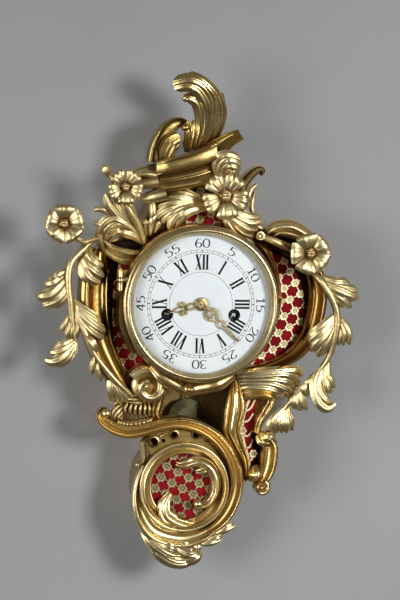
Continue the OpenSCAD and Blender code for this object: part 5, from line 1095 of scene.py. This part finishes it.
for minute in range(60):
    turn = math.radians(6 * minute)
    ends = [on_dial(0, y, TRACK_RING, turn) for y in (-TRACK_HALF, TRACK_HALF)]
    strokes.append(ribbon(ends, [FIVE_MARK if minute % 5 == 0 else MINUTE_MARK] * 2, *PAINT))
for radius in (INNER_LINE, TRACK_RING - TRACK_HALF, TRACK_RING + TRACK_HALF):
    inner, outer = radius - LINE_HALF, radius + LINE_HALF
    line = [(inner, PAINT_UNDER), (inner, PAINT_OVER), (outer, PAINT_OVER), (outer, PAINT_UNDER)]
    strokes.append(turned("circle", line, 0, 0, DIAL_FACE))
seat(joined("dial_figures", strokes), ink, "enamel")
COLLET = [(5.3, -2.2), (5.3, 0.25), (5.7, 0.45), (6.5, 0.4), (6.7, 0.0), (6.6, -0.05), (5.6, -0.1)]
collets = [turned("collet", COLLET, x, WINDING_HOLE_Z, DIAL_FACE, steps=48) for x in WINDING_HOLES_X]
seat(joined("winding_collets", collets), ink, "steel")

# The hands are pierced from gilt brass: the hour hand with a trefoil tip, the minute hand with an
# oval loop and a long open point. They sit on their pipes at the centre, one above the other.
hand_gold = metal("hand_gold", (0.30, 0.24, 0.11), (0.20, 0.14, 0.06), 0.002, 0.30, 0.45, 0.3)
HAND_THICKNESS = 0.7


def pierced_hand(boss, bars, turn, low):
    """The parts of a hand drawn pointing up and turned clockwise: a boss of a turned section, and on each
    side curved bars of (width, points)."""
    s, c = math.sin(turn), math.cos(turn)
    parts = [turned("boss", boss, 0, 0, low, steps=64)]
    for side in (-1, 1):
        for width, points in bars:
            path = eased([(side * x, y) for x, y in points], 5)
            laid = [(x * c + y * s, y * c - x * s) for x, y in path]
            parts.append(ribbon(laid, [width] * len(laid), low, low + HAND_THICKNESS))
    return parts


hour_parts = pierced_hand(
    [(4.2, 0), (4.2, 0.8), (4.8, 1.0), (6.2, 0.9), (6.8, 0.6), (6.8, 0)],
    [(3.1, [(1.0, 5.5), (2.2, 8.5), (3.0, 11.5), (1.8, 15), (0.9, 18)]),
     (2.5, [(0.6, 17.5), (3.2, 17.8), (6.2, 19.6), (7.0, 22.6), (4.8, 24.8), (2.6, 23.4), (3.6, 21.4)]),
     (2.1, [(0.8, 18), (1.2, 21), (2.4, 26), (1.8, 29.4), (0.7, 31), (0.3, 37)])],
    turn=math.radians(256), low=89.2)
seat(joined("hour_hand_pierced", hour_parts), hand_gold, "hand_gilt", "hour_hand", body="hour_pipe")
minute_parts = pierced_hand(
    [(2.6, 0), (2.6, 0.5), (3.3, 0.55), (3.5, 1.2), (4.4, 1.3), (5.2, 1.0), (5.6, 0.75), (6.4, 0.95),
     (7.2, 0.8), (7.5, 0.4), (7.4, 0)],
    [(2.1, [(0.6, 4.4), (1.6, 8), (5.4, 12), (6.6, 16.5), (5.0, 21), (1.6, 24.6), (0.7, 27)]),
     (1.9, [(0.6, 9), (2.6, 12.5), (4.0, 16), (2.6, 19.2), (1.0, 17.6)]),
     (1.7, [(0.6, 26.4), (3.0, 29), (3.8, 32), (2.4, 35), (1.2, 38.5), (0.4, 58.5)])],
    turn=math.radians(134), low=90.8)
seat(joined("minute_hand_pierced", minute_parts), hand_gold, "hand_gilt", "minute_hand", body="minute_arbor")

# The bezel is a turned and gilt door hinged at the left, with a domed glass held in its rebate. A
# lug on a short arm turns on the pin of the hinge.
BEZEL_BACK = 90.0
bezel = turned("bezel_turned", [
    (79.6, 0.3), (87, 0.3), (87, 2.8), (86.5, 3.6), (85.2, 4.1), (84.3, 4.9), (84.0, 6.0), (84.5, 7.6),
    (84.5, 9.4), (83.7, 10.9), (82.2, 11.8), (80.6, 11.8), (79.5, 11.0), (79.2, 10.0), (78.6, 9.2),
    (77.9, 8.4), (77.2, 7.4), (76.6, 6.3), (76.2, 5.2), (78.8, 4.8), (78.8, 1.5), (79.6, 1.5)],
    0, 0, BEZEL_BACK, steps=160)
HINGE_X, HINGE_DEPTH, LUG_HEIGHT = -90.5, 93, 26
lug_sizes = ((22.7, 2.9), (23.2, 3.25), (24.0, 2.7), (25.0, 3.2), (26.0, 3.3), (27.0, 3.2), (28.0, 2.7),
             (28.8, 3.25), (29.3, 2.9))
hinge_lug = stem("lug", [(HINGE_X, HINGE_DEPTH, z, radius) for z, radius in lug_sizes], sides=20)
arm_edges = ((91.8, -1), (93.4, -1), (94.0, -0.5), (94.0, 0.5), (93.4, 1), (91.8, 1))
arm_rows = [[(x, depth, LUG_HEIGHT + half * side) for depth, side in arm_edges]
            for x, half in ((HINGE_X, 1.6), (-87, 2.2), (-85, 3.0), (-83, 3.2))]
hinge_arm = skin("arm", arm_rows, closed=True)
bezel_gold = metal("bezel_gold", (0.68, 0.56, 0.31), (0.24, 0.14, 0.04), 0.006, 0.24, 0.42, 0.2)
bezel_ring = joined("bezel_ring", [bezel, hinge_lug, hinge_arm])
seat(bezel_ring, bezel_gold, "gilt_bronze", "bezel", body="bezel_door")
dress(burnished, "bezel_hinge")


def clear_where(tree, first, second):
    """Lets light straight through a material where either of two values says so."""
    solid = tree.nodes["Principled BSDF"].outputs[0]
    clear = node(tree, "BsdfTransparent").outputs[0]
    choice = node(tree, "MixShader", i0=worked_out(tree, "MAXIMUM", first, second), i1=solid, i2=clear)
    tree.links.new(choice.outputs[0], tree.nodes["Material Output"].inputs["Surface"])


glass, pane, pane_shader = blank("bezel_glass", Base_Color=(0.97, 0.99, 0.99, 1), Transmission_Weight=1.0,
                                 IOR=1.05)
pane.links.new(spread(pane, mottling(pane, 60.0, 2.0), 0.3, 0.7, 0.0, 0.03), pane_shader["Roughness"])
rays = node(pane, "LightPath").outputs
clear_where(pane, rays["Is Shadow Ray"], rays["Is Diffuse Ray"])
dress(glass, "bezel_glass")

# The stage: a grey wall seen from its front only, with painted light on it, soft lamps at both sides
# and behind, and the camera of the photograph.
bpy.ops.object.select_all(action="DESELECT")
bpy.ops.mesh.primitive_plane_add(size=6.0, location=(0, 0.0015, -0.1), rotation=(math.radians(90), 0, 0))
wall = bpy.context.object
wall.name = "wall"
bpy.ops.object.transform_apply(location=True, rotation=True)
plaster, wash, wash_shader = blank("plaster", Roughness=0.9, Specular_IOR_Level=0.1)
flat_wall = node(wash, "TexCoord").outputs["Object"]
slanted = node(wash, "Mapping", Vector=flat_wall, Rotation=(0, math.radians(35), 0))
slope = node(wash, "SeparateXYZ", Vector=slanted.outputs[0]).outputs["Z"]
blotches = spread(wash, mottling(wash, 4.0), 0.3, 0.7, -0.08, 0.08)
# Painted light: the wall's grey is lighter towards the lower right and darker towards the upper left,
# standing in for the fall of the lamps' light; the blotches are a random tone.
painted_light_and_blotches = worked_out(wash, "ADD", spread(wash, slope, -0.45, 0.25, 0.15, 0.85), blotches)
grey = blend(wash, painted_light_and_blotches, (0.407, 0.419, 0.436, 1), (0.283, 0.288, 0.302, 1))
wash.links.new(grey, wash_shader["Base Color"])
facing_away = node(wash, "NewGeometry").outputs["Backfacing"]
clear_where(wash, facing_away, node(wash, "LightPath").outputs["Is Shadow Ray"])
wall.data.materials.append(plaster)

CENTRE = Vector((0.0, -0.088, -0.1))
LAMPS = (("key", (1.10, -1.95, 0.25), 0.55, 32.0), ("fill", (-1.55, -1.45, -0.05), 0.9, 22.0),
         ("back", (0.5, 1.4, 0.5), 1.0, 12.0))
for name, spot, size, power in LAMPS:
    light = bpy.data.lights.new(name, "AREA")
    light.energy, light.size = power, size
    lamp = bpy.data.objects.new(name, light)
    bpy.context.collection.objects.link(lamp)
    lamp.location = spot
    lamp.rotation_euler = (CENTRE - Vector(spot)).to_track_quat("-Z", "Y").to_euler()

world = bpy.data.worlds.new("studio")
bpy.context.scene.world = world
world.use_nodes = True
sky = world.node_tree
height = node(sky, "SeparateXYZ", Vector=node(sky, "TexCoord").outputs["Generated"]).outputs["Z"]
warmth = spread(sky, height, -0.5, 0.75, 0.0, 1.0)
glow = blend(sky, warmth, (0.075, 0.067, 0.055, 1), (0.15, 0.138, 0.112, 1))
seen = node(sky, "LightPath").outputs["Is Camera Ray"]
sky.links.new(blend(sky, seen, glow, (0.62, 0.62, 0.63, 1)), sky.nodes["Background"].inputs["Color"])
sky.nodes["Background"].inputs["Strength"].default_value = 1.0

PICTURE_HEIGHT = 600
AZIMUTH, ELEVATION, DISTANCE, ROLL = math.radians(-10.5), math.radians(5.0), 2.2, math.radians(1.4)
lens = bpy.data.cameras.new("camera")
lens.lens, lens.sensor_width = 120.0, 36.0
lens.shift_x, lens.shift_y = -1 / PICTURE_HEIGHT, 4 / PICTURE_HEIGHT
camera = bpy.data.objects.new("camera", lens)
bpy.context.collection.objects.link(camera)
level = math.cos(ELEVATION)
towards = Vector((math.sin(AZIMUTH) * level, -math.cos(AZIMUTH) * level, math.sin(ELEVATION)))
camera.location = CENTRE + towards * DISTANCE
camera.rotation_mode = "QUATERNION"
camera.rotation_quaternion = (-towards).to_track_quat("-Z", "Y") @ Quaternion((0, 0, 1), ROLL)
bpy.context.scene.camera = camera
